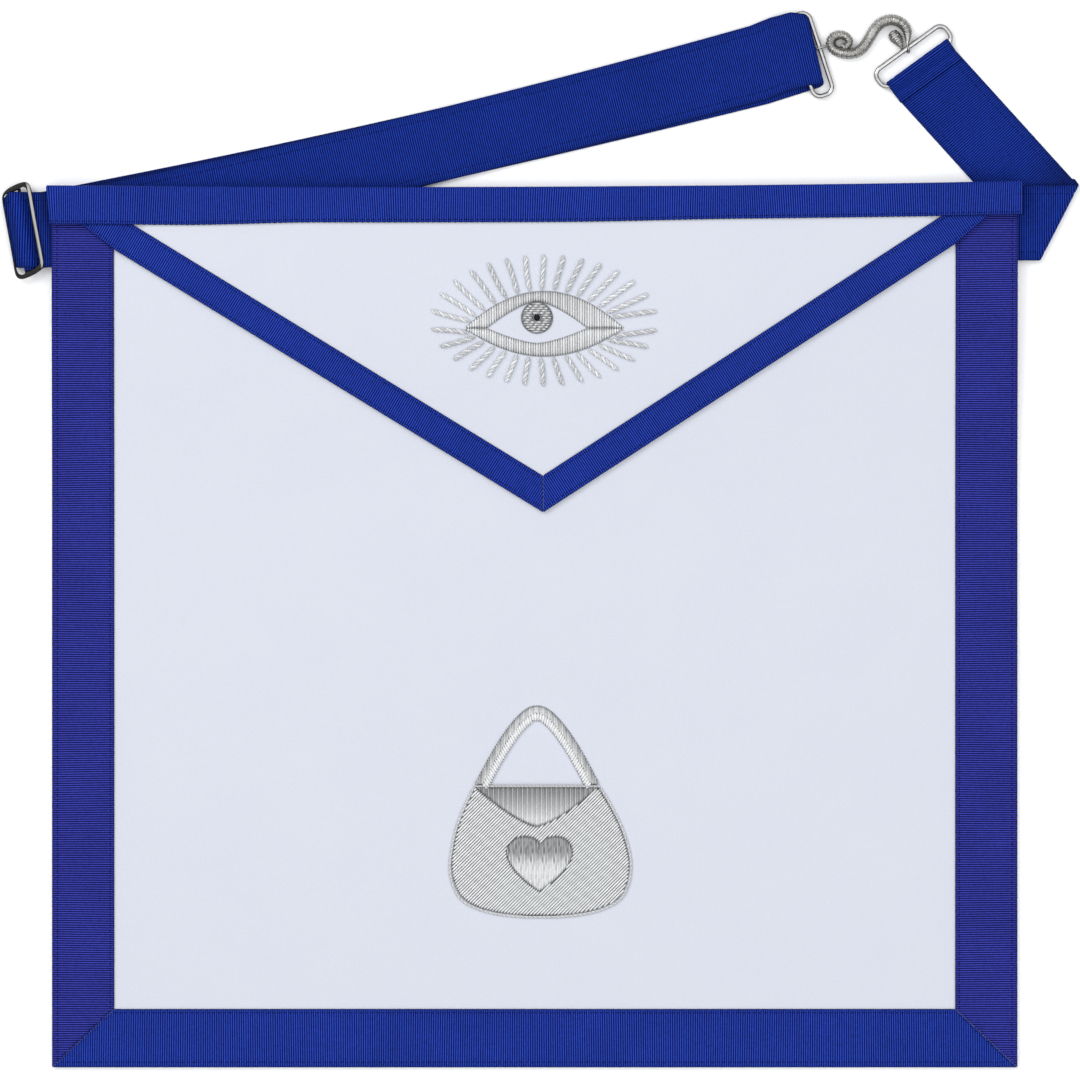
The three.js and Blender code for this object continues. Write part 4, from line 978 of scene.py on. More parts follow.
@dataclass
class LeatherWork(Work):
    """The panel and the flap."""

    step: float = 2.6
    inset: float = 0.4
    below_top: float = 1.2

    def grid(self, low_x: float, high_x: float, low_y: float) -> tuple[Array, Array]:
        """Returns places across and up in a grid whose top row follows the top edge."""
        columns = np.linspace(low_x, high_x, int((high_x - low_x) / self.step) + 1)
        shares = np.linspace(0.0, 1.0, int((PLAN.height - low_y) / self.step) + 1)[:, None]
        top = PLAN.top_edge(columns) - self.below_top
        return np.repeat(columns[None, :], len(shares), axis=0), low_y + shares * (top - low_y)

    def sheet(self, name: str, x: Array, y: Array, low: Height, thick: float) -> Piece:
        """Makes a leather sheet between a surface and its thickness above it.

        Args:
            name: The piece's name.
            x: Places across.
            y: Places up.
            low: The surface of its underside.
            thick: Its thickness.

        Returns:
            The piece.
        """
        floor = low(x, y)
        soft = 0.05 * np.sin(x / 7.3 + 2.0 * np.sin(y / 11.0)) * np.sin(y / 6.1 + np.sin(x / 9.0))
        made = MeshParts()
        made.slab(joined(x, y, floor + thick + soft), joined(x, y, floor), joined(x, y, 0.5))
        return made.piece(name)

    def panel(self) -> None:
        """Makes the panel."""
        edge = PLAN.half - self.inset
        x, y = self.grid(-edge, edge, self.inset)
        piece = self.sheet("panel_leather", x, y, PLAN.base, PLAN.panel_thick)
        dress(piece, self.finishes.leather, ["apron_panel"])

    def flap(self, outline: Array) -> None:
        """Makes the flap from its corners, which go round from the upper left."""
        x, y = self.grid(outline[0][0], outline[-1][0], PLAN.point[1] - 1.0)
        piece = self.sheet("flap_leather", x, y, PLAN.flap_low, PLAN.flap_thick)
        runs = np.diff(outline, axis=0)
        trim(piece, [(tuple(corner), (run[1], -run[0])) for corner, run in zip(outline, runs)])
        dress(piece, self.finishes.leather, ["flap_panel"])


@dataclass
class RibbonWork(Work):
    """The borders, the flap's ribbons and the binding, with their stitching."""

    mitre_gap: float = 0.12
    hem_inset: float = 1.2
    overhang: float = 2.2
    fold_radius: float = 0.9
    back_level: float = 3.6
    left_draw: float = 1.3
    left_draw_reach: float = 14.0
    before_point: float = 8.0
    past_corner: float = 44.0
    stitches: MeshParts = field(default_factory=MeshParts)
    hem: MeshParts = field(default_factory=MeshParts)

    def side_border(self, hand: Hand) -> None:
        """Makes the ribbon of one side, cut to a mitre at the bottom."""
        sign, name = hand.value, hand.name.lower()
        outer = sign * PLAN.half
        length = float(PLAN.top_edge(np.array(outer))) - 1.6
        width, low = PLAN.side_width, PLAN.bottom_width
        seams = (2.3, width - 1.7)
        ribbon = LaidRibbon((outer, 0.0), 90.0, length, width, sign, PLAN.panel_top, seams)
        piece = ribbon.build(f"side_ribbon_{name}")
        trim(piece, [((outer, self.mitre_gap), (-sign * low, -width))])
        # The side ribbon's violet tint is painted sheen.
        dress(piece, self.finishes.side, [f"{name}_border"])
        for seam in seams:
            end = length - PLAN.binding_width + 1.5
            sew(self.stitches, ribbon.seam_path(seam, seam * low / width + 1.0, end))

    def bottom_border(self) -> None:
        """Makes the ribbon of the bottom edge, mitred at both ends."""
        width, side = PLAN.bottom_width, PLAN.side_width
        seams = (2.2, width - 1.6)
        ribbon = LaidRibbon((-PLAN.half, 0.0), 0.0, PLAN.width, width, 1.0, PLAN.panel_top, seams)
        piece = ribbon.build("bottom_ribbon")
        inner = PLAN.half - self.mitre_gap
        trim(piece, [((hand.value * inner, 0.0), (hand.value * width, side)) for hand in Hand])
        dress(piece, self.finishes.ribbon, ["bottom_border"])
        for seam in seams:
            inset = seam * side / width + 1.0
            sew(self.stitches, ribbon.seam_path(seam, inset, PLAN.width - inset))
        share = np.linspace(0.06, 0.97, 12)
        for hand in Hand:
            x = hand.value * (PLAN.half - share * side)
            y = share * width - 0.9 * hand.value
            sew(self.stitches, joined(x, y, PLAN.panel_top(x, y) + 0.92))

    def flap_ribbon(self, hand: Hand) -> None:
        """Makes the ribbon on one edge of the flap, mitred at the point."""
        sign, name = hand.value, hand.name.lower()
        corner, flare = (-1, -0.097) if hand is Hand.LEFT else (0, -0.128)
        run = np.array(self.corners(hand)[corner]) - PLAN.point
        upward = unit(run)
        outward = np.array([sign * upward[1], -sign * upward[0]])
        before = self.before_point
        begin = PLAN.point + outward * 0.4 - upward * before
        leg = float(np.hypot(*run)) + before
        ribbon = LaidRibbon(
            start=(float(begin[0]), float(begin[1])), heading=degrees(atan2(upward[1], upward[0])),
            length=leg + self.past_corner, width=PLAN.flap_ribbon + 0.4, side=sign, surface=PLAN.flap_top,
            seams=(1.5, PLAN.flap_ribbon - 1.1), flare_from=leg, flare=flare,
        )
        piece = ribbon.build(f"flap_ribbon_{name}")
        top = PLAN.height - 2.2
        middle = (PLAN.point[0] + sign * 0.1, 0.0)
        side = (sign * 0.985 * PLAN.half, 0.0)
        trim(piece, [(middle, (-sign, 0.0)), ((0.0, top), (0.0, 1.0)), (side, (sign, 0.0))])
        dress(piece, self.finishes.ribbon, [f"flap_border_{name}"])
        slope = abs(upward[1] / upward[0])
        for seam in ribbon.seams:
            end = (top - PLAN.binding_width - PLAN.point[1]) / upward[1] + before + seam / slope * 0.3
            sew(self.stitches, ribbon.seam_path(seam, before + seam * slope + 1.2, end))

    def binding(self) -> None:
        """Makes the ribbon that is folded over the top edge."""
        end = PLAN.half + self.overhang
        rows = RIB.rows(2.0 * end)
        middle = PLAN.ribbon_thick / 2.0
        turn, back = self.fold_radius, self.back_level + middle
        x = rows - end
        top = PLAN.top_edge(x) - middle
        low = PLAN.binding_low(x)
        front = PLAN.binding_front(x) + 0.2
        columns = [(low + share * (top - turn - low), back, -0.5 * pi) for share in (0.0, 0.03, 0.5)]
        quarter = np.radians([-90.0, -60.0, -30.0, 0.0])
        bends = [(angle, back + turn) for angle in quarter]
        for angle, level in bends + [(-angle, front - turn) for angle in quarter[::-1]]:
            columns.append((top - turn + turn * cos(angle), level + turn * sin(angle), angle))
        for place in (11.0, 8.0, 5.0, 2.0, 1.2, 0.5, 0.25, 0.08, 0.0):
            columns.append((low + place, front, 0.5 * pi))
        y, z, facing = (joined(*values, x)[:, :-1] for values in zip(*columns))
        steps = np.hypot(np.diff(y, axis=1), np.diff(z, axis=1))
        across = np.concatenate([np.zeros((len(x), 1)), np.cumsum(steps, axis=1)], axis=1)
        total = across[:, -1:]
        flat = np.repeat(x[:, None], y.shape[1], axis=1)
        to_end = end - np.abs(flat)
        lean = 0.045 * np.sin(flat / 33.0 + 1.1) + 0.03 * np.sin(flat / 9.0)
        up = bounded((y - low[:, None]) / PLAN.binding_width)
        drawn_in = self.left_draw * (1.0 - up) * bounded(1.0 - (end + flat) / self.left_draw_reach)
        wide = flat + lean * bounded(to_end / 6.0) * PLAN.binding_width * up + drawn_in
        from_edge = np.minimum(across, total - across)
        groove = np.exp(-(((total - across - self.hem_inset) / 0.5) ** 2))
        ends = 0.4 + 0.6 * bounded(to_end / 0.35)
        share = (rounded_edge(from_edge, 0.3) - 0.22 * groove) * ends
        outer = middle * (2.0 * share - 1.0) + RIB.rise(rows)[:, None] * ends
        pinch = np.abs(np.sin(pi * wide / StitchStyle.spacing)) ** 2 - 0.5
        swell = 0.16 * pinch * np.exp(-(((total - across) / 0.5) ** 2))

        def layer(offset: Array | float) -> Array:
            """Returns the grid of points at an offset from the middle of the ribbon."""
            return joined(wide, y + offset * np.cos(facing) - swell, z + offset * np.sin(facing))

        made = MeshParts()
        # Painted shade along both edges and at both ends of the binding.
        inside = smooth(from_edge / EDGE_SHADE_WIDTH) * smooth(to_end / 0.8)
        made.slab(layer(outer), layer(-middle), joined(across, rows[:, None], inside))
        dress(made.piece("binding_ribbon"), self.finishes.ribbon, ["top_binding"])
        places = np.linspace(1.0 - end, end - 1.0, 260)
        up = PLAN.binding_low(places) + self.hem_inset
        sew(self.hem, joined(places, up, PLAN.binding_front(places) + 0.45))

    def corners(self, hand: Hand) -> list[Pair]:
        """Returns the flap's corners on one side, as they follow one another round the flap."""
        return [(PLAN.half * x, PLAN.height - PLAN.flap_depth * y) for x, y in FLAP_SIDES[hand]]

    def outline(self) -> Array:
        """Returns the flap's corners, from the upper left round by the point to the upper right."""
        return np.array([*self.corners(Hand.LEFT), tuple(PLAN.point), *self.corners(Hand.RIGHT)])

    def finish(self) -> None:
        """Makes the meshes of the stitching."""
        dress(self.stitches.piece("ribbon_stitching"), self.finishes.thread)
        dress(self.hem.piece("binding_stitching"), self.finishes.hem_thread)


# Belt


@dataclass(frozen=True)
class CrossFrame:
    """A place in the plan with the direction across a band that lies there."""

    x: float
    y: float
    across: float

    def point(self, u: Array | float, v: Array | float, z: Array | float) -> Array:
        """Returns the point u clockwise of the frame's line, v along it and at height z."""
        angle = radians(self.across)
        across, along = sin(angle), cos(angle)
        return joined(self.x + u * across + v * along, self.y - u * along + v * across, z)


@dataclass(frozen=True)
class Roller:
    """A round bar that a band goes round. Side 1 is passed clockwise, and -1 the other way."""

    u: float
    z: float
    radius: float = 0.0
    side: float = 1.0


def taut_line(rollers: Sequence[Roller]) -> Array:
    """Draws the middle line of a band that is taut round rollers.

    Args:
        rollers: The bars in order. One with no radius is a point on the line.

    Returns:
        Rows of u, z and heading.
    """
    headings = []
    for a, b in zip(rollers[:-1], rollers[1:]):
        distance = hypot(b.u - a.u, b.z - a.z)
        lean = max(-1.0, min(1.0, (a.side * a.radius - b.side * b.radius) / distance))
        headings.append(atan2(b.z - a.z, b.u - a.u) - asin(lean))
    rows = []
    for i, bar in enumerate(rollers):
        first = headings[max(i - 1, 0)]
        last = headings[min(i, len(headings) - 1)]
        last += round((first - last) / tau) * tau
        if bar.side * (last - first) > 1e-6 and abs(last - first) > pi / 3.0:
            last -= bar.side * tau
        if i < len(headings):
            headings[i] = last
        count = max(1, ceil(abs(last - first) / radians(5.0))) if bar.radius > 0 else 0
        for k in range(count + 1):
            heading = first + (last - first) * k / count if count else last
            rows.append((
                bar.u - bar.side * bar.radius * sin(heading),
                bar.z + bar.side * bar.radius * cos(heading), heading,
            ))
    return np.array(rows)


@dataclass
class Stations:
    """The two edges of a band, station by station, and the direction out of its face."""

    low: Array
    high: Array
    normal: Array

    @staticmethod
    def join(parts: Sequence["Stations"]) -> "Stations":
        """Returns the stations of several parts in a row."""
        rows = zip(*((part.low, part.high, part.normal) for part in parts))
        return Stations(*(np.concatenate(row) for row in rows))

    def reverse(self) -> "Stations":
        """Returns the stations in the other order."""
        return Stations(self.low[::-1], self.high[::-1], self.normal[::-1])


def level_edges(frame: CrossFrame, u: float, middle: float, width: float) -> Pair:
    """Returns where a level belt's two edges cross a frame's line at u.

    Args:
        frame: The frame whose line is crossed.
        u: Distance from the line, clockwise.
        middle: Height of the belt's middle in the plan.
        width: The belt's width.

    Returns:
        The places of the lower and the upper edge along the line.
    """
    angle = radians(frame.across)
    low, high = (
        (middle + sign * width / 2.0 - frame.y + u * cos(angle)) / sin(angle) for sign in (-1.0, 1.0)
    )
    return low, high


def turn_stations(
    frame: CrossFrame, rollers: Sequence[Roller], start: Sequence[float], end: Sequence[float],
    corner: Pair | None = None, middle: float | None = None, sway: Sequence[Pair] = ((0.0, 0.0),),
) -> Stations:
    """Takes a band round rollers, while its edges move evenly along the frame's line.

    Args:
        frame: The frame whose line the rollers follow.
        rollers: The rollers in order.
        start: The lower and upper edge where the band enters.
        end: The same where it leaves.
        corner: The tip's place and radius of a rounded upper corner.
        middle: The height in the plan at which the band stays level until its furthest turn.
        sway: How far the band strays along the line, at shares of its way.

    Returns:
        The band's stations.
    """
    line = taut_line(rollers)
    done = np.concatenate([[0.0], np.cumsum(np.hypot(*np.diff(line[:, :2], axis=0).T))])
    share = done / done[-1]
    u, z, heading = line.T
    low = start[0] + (end[0] - start[0]) * share
    high = start[1] + (end[1] - start[1]) * share
    if middle is not None:
        level = level_edges(frame, u, middle, end[1] - end[0])
        turned = share[int(np.argmin(u))]
        let_go = smooth((share - turned) / (1.0 - turned))
        low = level[0] + (end[0] - level[0]) * let_go
        drawn_in = np.where(share < turned, smooth((-1.5 - u) / 4.5), 1.0)
        high = level[1] + (end[1] - level[1]) * drawn_in
    strayed = np.interp(share, *np.array(sway).T)
    low = low + strayed
    high = high + strayed
    if corner is not None:
        tip, radius = corner
        inside = np.clip(radius - (tip - u), 0.0, radius)
        high = high - (radius - np.sqrt(radius**2 - inside**2))
    angle = radians(frame.across)
    lean = -np.sin(heading)
    normal = joined(lean * sin(angle), -lean * cos(angle), np.cos(heading))
    return Stations(frame.point(u, low, z), frame.point(u, high, z), normal)


@dataclass(frozen=True)
class FlatRun:
    """A length of belt that lies flat between two places, with a slight bow."""

    begin: Array
    end: Array
    across_begin: float
    across_end: float
    level: float
    facing: float
    sag: float
    width: float = 31.75
    count: int = 70
    waist: float = 0.0
    dip: float = 0.0

    def stations(self) -> Stations:
        """Returns the stations of the run, without its two ends."""
        run = self.end[:2] - self.begin[:2]
        length = float(np.hypot(*run))
        chord = atan2(run[1], run[0])
        drift = chord - pi / 2.0
        t = np.linspace(0.0, 1.0, self.count + 1)[1:-1]

        def square(share: Array | float) -> Array:
            """Returns the band's own square direction at a share of the run."""
            bend = np.arctan(4.0 * self.sag * (1.0 - 2.0 * share) * np.sign(cos(chord)) / length)
            across = chord - bend + pi / 2.0
            return np.where(np.sin(across) < 0.0, across - pi, across)

        sign = -1.0 if sin(drift) > 0.0 else 1.0
        bow = (4.0 * self.sag * t + self.dip * smooth(t * length / 20.0)) * (1.0 - t)
        x = self.begin[0] + run[0] * t + sign * bow * cos(drift)
        y = self.begin[1] + run[1] * t + sign * bow * sin(drift)
        first = radians(self.across_begin) - float(square(0.0))
        last = radians(self.across_end) - float(square(1.0))
        early = smooth(1.0 - t * length / (1.3 * self.width)) * first
        late = smooth(1.0 - (1.0 - t) * length / (1.3 * self.width)) * last
        angle = square(t) + early + late
        half = self.width / 2.0 / np.cos(early + late) * (1.0 - self.waist * np.sin(pi * t))
        side = joined(half * np.cos(angle), half * np.sin(angle))
        middle = joined(x, y)
        level = np.full((len(t), 1), self.level)
        normal = np.tile([0.0, 0.0, self.facing], (len(t), 1))
        return Stations(
            np.concatenate([middle - side, level], axis=1), np.concatenate([middle + side, level], axis=1),
            normal,
        )


@dataclass(frozen=True)
class Course:
    """A stretch of a strap whose ribs stay square to one heading, while its stations turn."""

    begin: float
    end: float
    anchor: float
    heading: float


@dataclass(frozen=True)
class Shadow:
    """Where a strap darkens towards the piece that crosses it."""

    begin: float
    end: float
    depth: float


@dataclass
class Strap:
    """A length of webbing with ribs on both faces."""

    stations: Stations
    width: float = 31.75
    thick: float = 1.0
    seams: tuple[float, ...] = (3.6, 28.15)
    courses: tuple[Course, ...] = ()
    shadows: tuple[Shadow, ...] = ()

    def __post_init__(self) -> None:
        """Measures the strap along its middle."""
        self.done = lengths_along((self.stations.low + self.stations.high) / 2.0)

    @staticmethod
    def of(parts: Sequence[Stations]) -> tuple["Strap", list[float]]:
        """Returns the strap of several parts in a row, and the distance at which each ends."""
        strap = Strap(Stations.join(parts))
        counts = np.cumsum([len(part.low) for part in parts])
        return strap, [float(strap.done[count - 1]) for count in counts]

    def table(self, wanted: Array) -> tuple[Array, Array, Array]:
        """Returns the two edges and the outward direction at distances along the strap."""
        parts = (self.stations.low, self.stations.high, self.stations.normal)
        found = [
            np.stack([np.interp(wanted, self.done, part[:, k]) for k in range(3)], axis=1) for part in parts
        ]
        return found[0], found[1], unit(found[2])

    def build(self, name: str) -> Piece:
        """Makes the strap's mesh and returns its object."""
        rows = RIB.rows(self.done[-1])
        columns = ribbon_columns(self.width, self.seams, 2)
        low, high, normal = self.table(rows)
        share = (columns / self.width)[None, :, None]
        grid = low[:, None] + share * (high - low)[:, None]
        profile = ribbon_profile(columns, self.width, self.seams)[None, :, None]
        along = np.repeat(rows[:, None], len(columns), axis=1)
        ribbed = np.ones(len(rows))
        for course in self.courses:
            held = (rows > course.begin) & (rows < course.end)
            first, last, _ = self.table(np.array([course.anchor]))
            heading = radians(course.heading)
            forward = np.array([cos(heading), sin(heading), 0.0])
            straight = course.anchor + (grid - (first + last) / 2.0) @ forward
            along = np.where(held[:, None], straight, along)
            ribbed = np.where(held, 0.0, ribbed)
        rise = (RIB.rise(rows) * 0.8 * ribbed)[:, None, None]
        half = self.thick / 2.0 * (2.0 * profile - 1.0)
        half = np.maximum(half + rise * profile, 0.05)
        upper = grid + half * normal[:, None]
        lower = grid - half * normal[:, None]
        across = np.repeat(columns[None, :], len(rows), axis=0)
        # Painted shade: the weave's third value darkens along both edges and in each of the strap's painted
        # shadows.
        inside = edge_shade(across, self.width)
        for shadow in self.shadows:
            lit = smooth((rows - shadow.begin) / (shadow.end - shadow.begin))
            lit = np.where(rows < shadow.begin, 1.0, 1.0 - shadow.depth * (1.0 - lit))
            inside = inside * lit[:, None]
        made = MeshParts()
        made.slab(upper, lower, joined(across, along, inside))
        return made.piece(name)

    def seam(self, made: MeshParts, across: float, begin: float, end: float, face: Face) -> None:
        """Sews one row of stitches on one face.

        Args:
            made: The mesh that the stitches go to.
            across: Distance of the row from the lower edge.
            begin: Distance along at which it starts.
            end: Distance along at which it ends.
            face: The face that is sewn.
        """
        places = np.linspace(begin, end, max(2, int((end - begin) / 2.0)))
        low, high, normal = self.table(places)
        out = normal * face.value
        line = low + (high - low) * (across / self.width) + out * (self.thick / 2.0 - 0.12)
        sew(made, line, StitchStyle(spacing=2.6, length=1.8, width=0.36), out)


@dataclass(frozen=True)
class BeltSizes:
    """Sizes and places of the belt and its fittings."""

    width: float = 31.75
    tuck: float = 60.0
    slide: CrossFrame = CrossFrame(-215.7, 352.1, 100.3)
    ring_left: CrossFrame = CrossFrame(116.4, 426.3, 108.0)
    ring_right: CrossFrame = CrossFrame(159.4, 425.6, 36.0)
    left_y: float = 352.6
    right_y: float = 355.5
    back: float = 0.5
    front: float = 1.7
    tucked: float = 2.9
    slide_level: float = 4.6
    ring_level: float = 2.2
    slide_bar: float = 5.2
    ring_bar: float = 4.3
    wire: float = 1.7
    bar: float = 1.5
    shift: float = 1.1
    back_shift: float = 0.4
    front_shift: float = 2.3
    waist: float = 0.045
    loop_line: float = 103.5
    loop_tip: float = 6.8
    loop_corner: float = 5.8
    loop_landing: float = 12.0
    loop_far: float = 18.0
    loop_sway: tuple[Pair, ...] = ((0.0, 0.0), (0.38, -0.5), (0.5, 1.85), (0.75, 2.45), (1.0, 0.0))
    fold_reach: float = 17.8
    fold_line: float = 62.9
    tab: float = 8.4


@dataclass
class BeltWork(Work):
    """The two straps and their stitching."""

    sizes: BeltSizes = BeltSizes()
    stitches: MeshParts = field(default_factory=MeshParts)

    def tucked(self, x: float, y: float, facing: float) -> Stations:
        """Returns one station of the part of a strap that is sewn behind the panel."""
        size = self.sizes
        place = CrossFrame(x, y, 90.0)
        low, high = (place.point(0.0, side * size.width / 2.0, size.tucked)[None] for side in (-1.0, 1.0))
        return Stations(low, high, np.array([[0.0, 0.0, facing]]))

    def left(self) -> None:
        """Makes the long strap: tucked end, slide, back layer, ring and front layer."""
        size = self.sizes
        half = size.width / 2.0
        start = self.tucked(size.tuck - PLAN.half, size.left_y, -1.0)
        wire, bar, reach, level = size.wire, size.bar, size.slide_bar, size.slide_level
        enter = reach + 2.0 * wire
        leaving = (-size.shift - half, -size.shift + half)
        fold = (size.tucked - size.back) / 2.0
        weave = turn_stations(
            size.slide,
            [
                Roller(enter, size.tucked), Roller(reach, level, wire), Roller(0.0, level, bar + 1.2, -1.0),
                Roller(-reach, level, wire), Roller(-reach + fold - 0.35, size.back + fold, fold, -1.0),
                Roller(reach, size.back),
            ],
            level_edges(size.slide, enter, size.left_y, size.width),
            leaving,
            middle=size.left_y,
        )
        grip = size.ring_left.point(-size.ring_bar, 0.0, 0.0)
        loop_frame = CrossFrame(float(grip[0]), float(grip[1]), size.loop_line)
        tip, landing, far = size.loop_tip, size.loop_landing, size.loop_far
        loop = turn_stations(
            loop_frame,
            [
                Roller(-far, size.back), Roller(tip - wire - 0.5, size.ring_level, wire, -1.0),
                Roller(0.0, size.ring_level, wire + 0.2, -1.0),
                Roller(-landing, size.front + landing, landing), Roller(-far, size.front),
            ],
            (size.back_shift - half, size.back_shift + half),
            (size.front_shift - half, size.front_shift + half),
            (tip, size.loop_corner),
            sway=size.loop_sway,
        )
        under_bar = [
            Roller(enter, size.front), Roller(reach, level, wire + 1.2), Roller(0.0, level, bar, -1.0),
            Roller(bar, level - bar, 0.0, -1.0),
        ]
        sewn = turn_stations(size.slide, under_bar, leaving, leaving)

        def layer(u: float, shift: float, level: float, facing: float, sag: float, dip: float) -> Stations:
            """Returns the stations of one layer, from the slide to the loop."""
            begin = size.slide.point(u, -size.shift, 0.0)
            end = loop_frame.point(-far, shift, 0.0)
            lines = (size.slide.across, loop_frame.across)
            return FlatRun(begin, end, *lines, level, facing, sag, waist=size.waist, dip=dip).stations()

        back = layer(reach, size.back_shift, size.back, 1.0, 2.2, 0.0)
        front = layer(enter, size.front_shift, size.front, -1.0, 2.4, 2.0)
        strap, marks = Strap.of([start, weave, back, loop, front.reverse(), sewn])
        entered = float(strap.done[1])
        turned = float(strap.done[1 + int(np.argmin(weave.low[:, 0]))])
        strap.courses = (Course(begin=-1.0, end=turned, anchor=0.0, heading=180.0),)
        strap.shadows = (
            Shadow(begin=entered - 4.0, end=entered + 2.4, depth=0.6),
            Shadow(begin=marks[1], end=marks[2], depth=0.75),
        )
        piece = dress(strap.build("belt_strap_left"), self.finishes.belt, ["belt_left"])
        for across in strap.seams:
            strap.seam(self.stitches, across, marks[0] + 3.0, marks[1] - 4.0, Face.INNER)
            strap.seam(self.stitches, across, marks[3] - 12.0, marks[4] - 2.0, Face.INNER)

    def right(self) -> None:
        """Makes the short strap: tucked end, fold, strip and the end turned back over its ring."""
        size = self.sizes
        half = size.width / 2.0
        tucks = [self.tucked(x, size.right_y, 1.0) for x in (PLAN.half - size.tuck, PLAN.half)]
        fold = (size.tucked - size.back) / 2.0
        crease = CrossFrame(PLAN.half + size.fold_reach, size.right_y, size.fold_line)
        centre = -fold - 0.5
        enter = centre - 1.0
        leave = enter + 2.0 * (centre - enter) + pi * fold
        edges_in, edges_out = (level_edges(crease, u, size.right_y, size.width) for u in (enter, leave))
        round_fold = [
            Roller(enter, size.tucked), Roller(centre, size.back + fold, fold), Roller(enter, size.back),
        ]
        turn = turn_stations(crease, round_fold, edges_in, edges_out)
        grip = size.ring_right.point(size.ring_bar, 0.0, 0.0)
        loop_frame = CrossFrame(float(grip[0]), float(grip[1]), size.ring_right.across)
        tab = size.tab
        round_ring = [
            Roller(tab / 2.0, size.back), Roller(0.0, size.ring_level, size.wire),
            Roller(0.6 * tab, size.front + tab / 4.0, tab / 4.0, -1.0), Roller(tab, size.front),
        ]
        loop = turn_stations(loop_frame, round_ring, (-half, half), (-half, half))
        begin = crease.point(enter, sum(edges_out) / 2.0, 0.0)
        end = loop_frame.point(tab / 2.0, 0.0, 0.0)
        strip = FlatRun(begin, end, crease.across, loop_frame.across, size.back, -1.0, 0.0)
        strap, marks = Strap.of([*tucks, turn, strip.stations(), loop])
        creased = (float(strap.done[len(tucks)]) + marks[2]) / 2.0
        settled = marks[2] + 1.35 * size.width
        lie = end - begin
        strap.courses = (
            Course(begin=-1.0, end=creased, anchor=0.0, heading=0.0),
            Course(creased, settled, settled, degrees(atan2(lie[1], lie[0]))),
        )
        strap.shadows = (Shadow(begin=creased, end=marks[2] + 28.0, depth=0.75),)
        piece = dress(strap.build("belt_strap_right"), self.finishes.belt, ["belt_right"])
        for across in strap.seams:
            strap.seam(self.stitches, across, marks[1] + 1.0, marks[2] - 4.0, Face.OUTER)
            strap.seam(self.stitches, across, marks[2] + 3.0, marks[3], Face.INNER)
        low, high, normal = strap.table(np.array([strap.done[-1] - 1.2]))
        line = low + (high - low) * np.linspace(0.05, 0.95, 14)[:, None] + normal * 0.5
        sew(self.stitches, line, StitchStyle(spacing=2.2, length=1.7, width=0.36))

    def finish(self) -> None:
        """Makes the stitching's mesh."""
        dress(self.stitches.piece("belt_stitching"), self.finishes.thread)


# Fittings


@dataclass(frozen=True)
class WireLoop:
    """A wire bent to a long loop with rounded ends."""

    length: float
    width: float
    wire: float
    corner: float
    level: float

    def path(self, frame: CrossFrame, fine: int = 12) -> Array:
        """Returns the wire's middle line in a frame."""
        long = self.length / 2.0 - self.wire - self.corner
        wide = self.width / 2.0 - self.wire - self.corner
        rows = []
        for (right, up), begin in zip(((1, 1), (-1, 1), (-1, -1), (1, -1)), (0, 90, 180, 270)):
            angle = np.radians(np.linspace(begin, begin + 90, fine))
            u = right * wide + self.corner * np.cos(angle)
            v = up * long + self.corner * np.sin(angle)
            rows.append(frame.point(u, v, self.level))
        path = np.concatenate(rows)
        apart = np.linalg.norm(path - np.roll(path, -1, axis=0), axis=1) > 0.05
        return path[apart]


@dataclass(frozen=True)
class SlideSizes:
    """The slide's outer and inner outline, across and along, clockwise from its left side."""

    offset: float = 0.35
    half: float = 0.85
    # Where the right bar's crown is bright, across: worn plating and a painted highlight.
    bright_crown_from: float = 4.85
    bright_crown_to: float = 6.25
    outer: tuple[Pair, ...] = (
        (-6.4, 0.0), (-6.4, 8.0), (-6.35, 13.0), (-6.15, 15.2), (-5.4, 16.8), (-4.2, 17.9),
        (-2.7, 18.7), (0.2, 19.6), (3.0, 20.1), (4.6, 20.0), (5.7, 19.3), (6.35, 18.1),
        (6.6, 16.2), (6.6, 12.0), (6.5, 6.0), (6.4, 0.0), (6.4, -8.0), (6.35, -13.0),
        (6.15, -15.2), (5.4, -16.8), (4.2, -17.8), (2.7, -18.5), (0.2, -19.4), (-3.0, -20.0),
        (-4.6, -19.9), (-5.7, -19.2), (-6.3, -18.0), (-6.5, -16.2), (-6.45, -12.0), (-6.4, -6.0),
    )
    inner: tuple[Pair, ...] = (
        (-5.75, 0.0), (-5.75, 8.0), (-5.75, 12.8), (-5.5, 14.8), (-4.8, 15.9), (-3.7, 16.35),
        (-1.8, 16.6), (0.6, 17.1), (2.3, 17.8), (3.3, 18.1), (4.1, 17.7), (4.5, 16.8),
        (4.6, 15.2), (4.6, 11.5), (4.5, 6.0), (4.4, 0.0), (4.4, -8.0), (4.4, -12.6),
        (4.2, -14.6), (3.5, -15.6), (2.3, -16.1), (0.6, -16.5), (-1.2, -17.0), (-2.5, -17.8),
        (-3.5, -18.2), (-4.6, -17.8), (-5.2, -16.8), (-5.5, -15.2), (-5.7, -11.5), (-5.75, -6.0),
    )


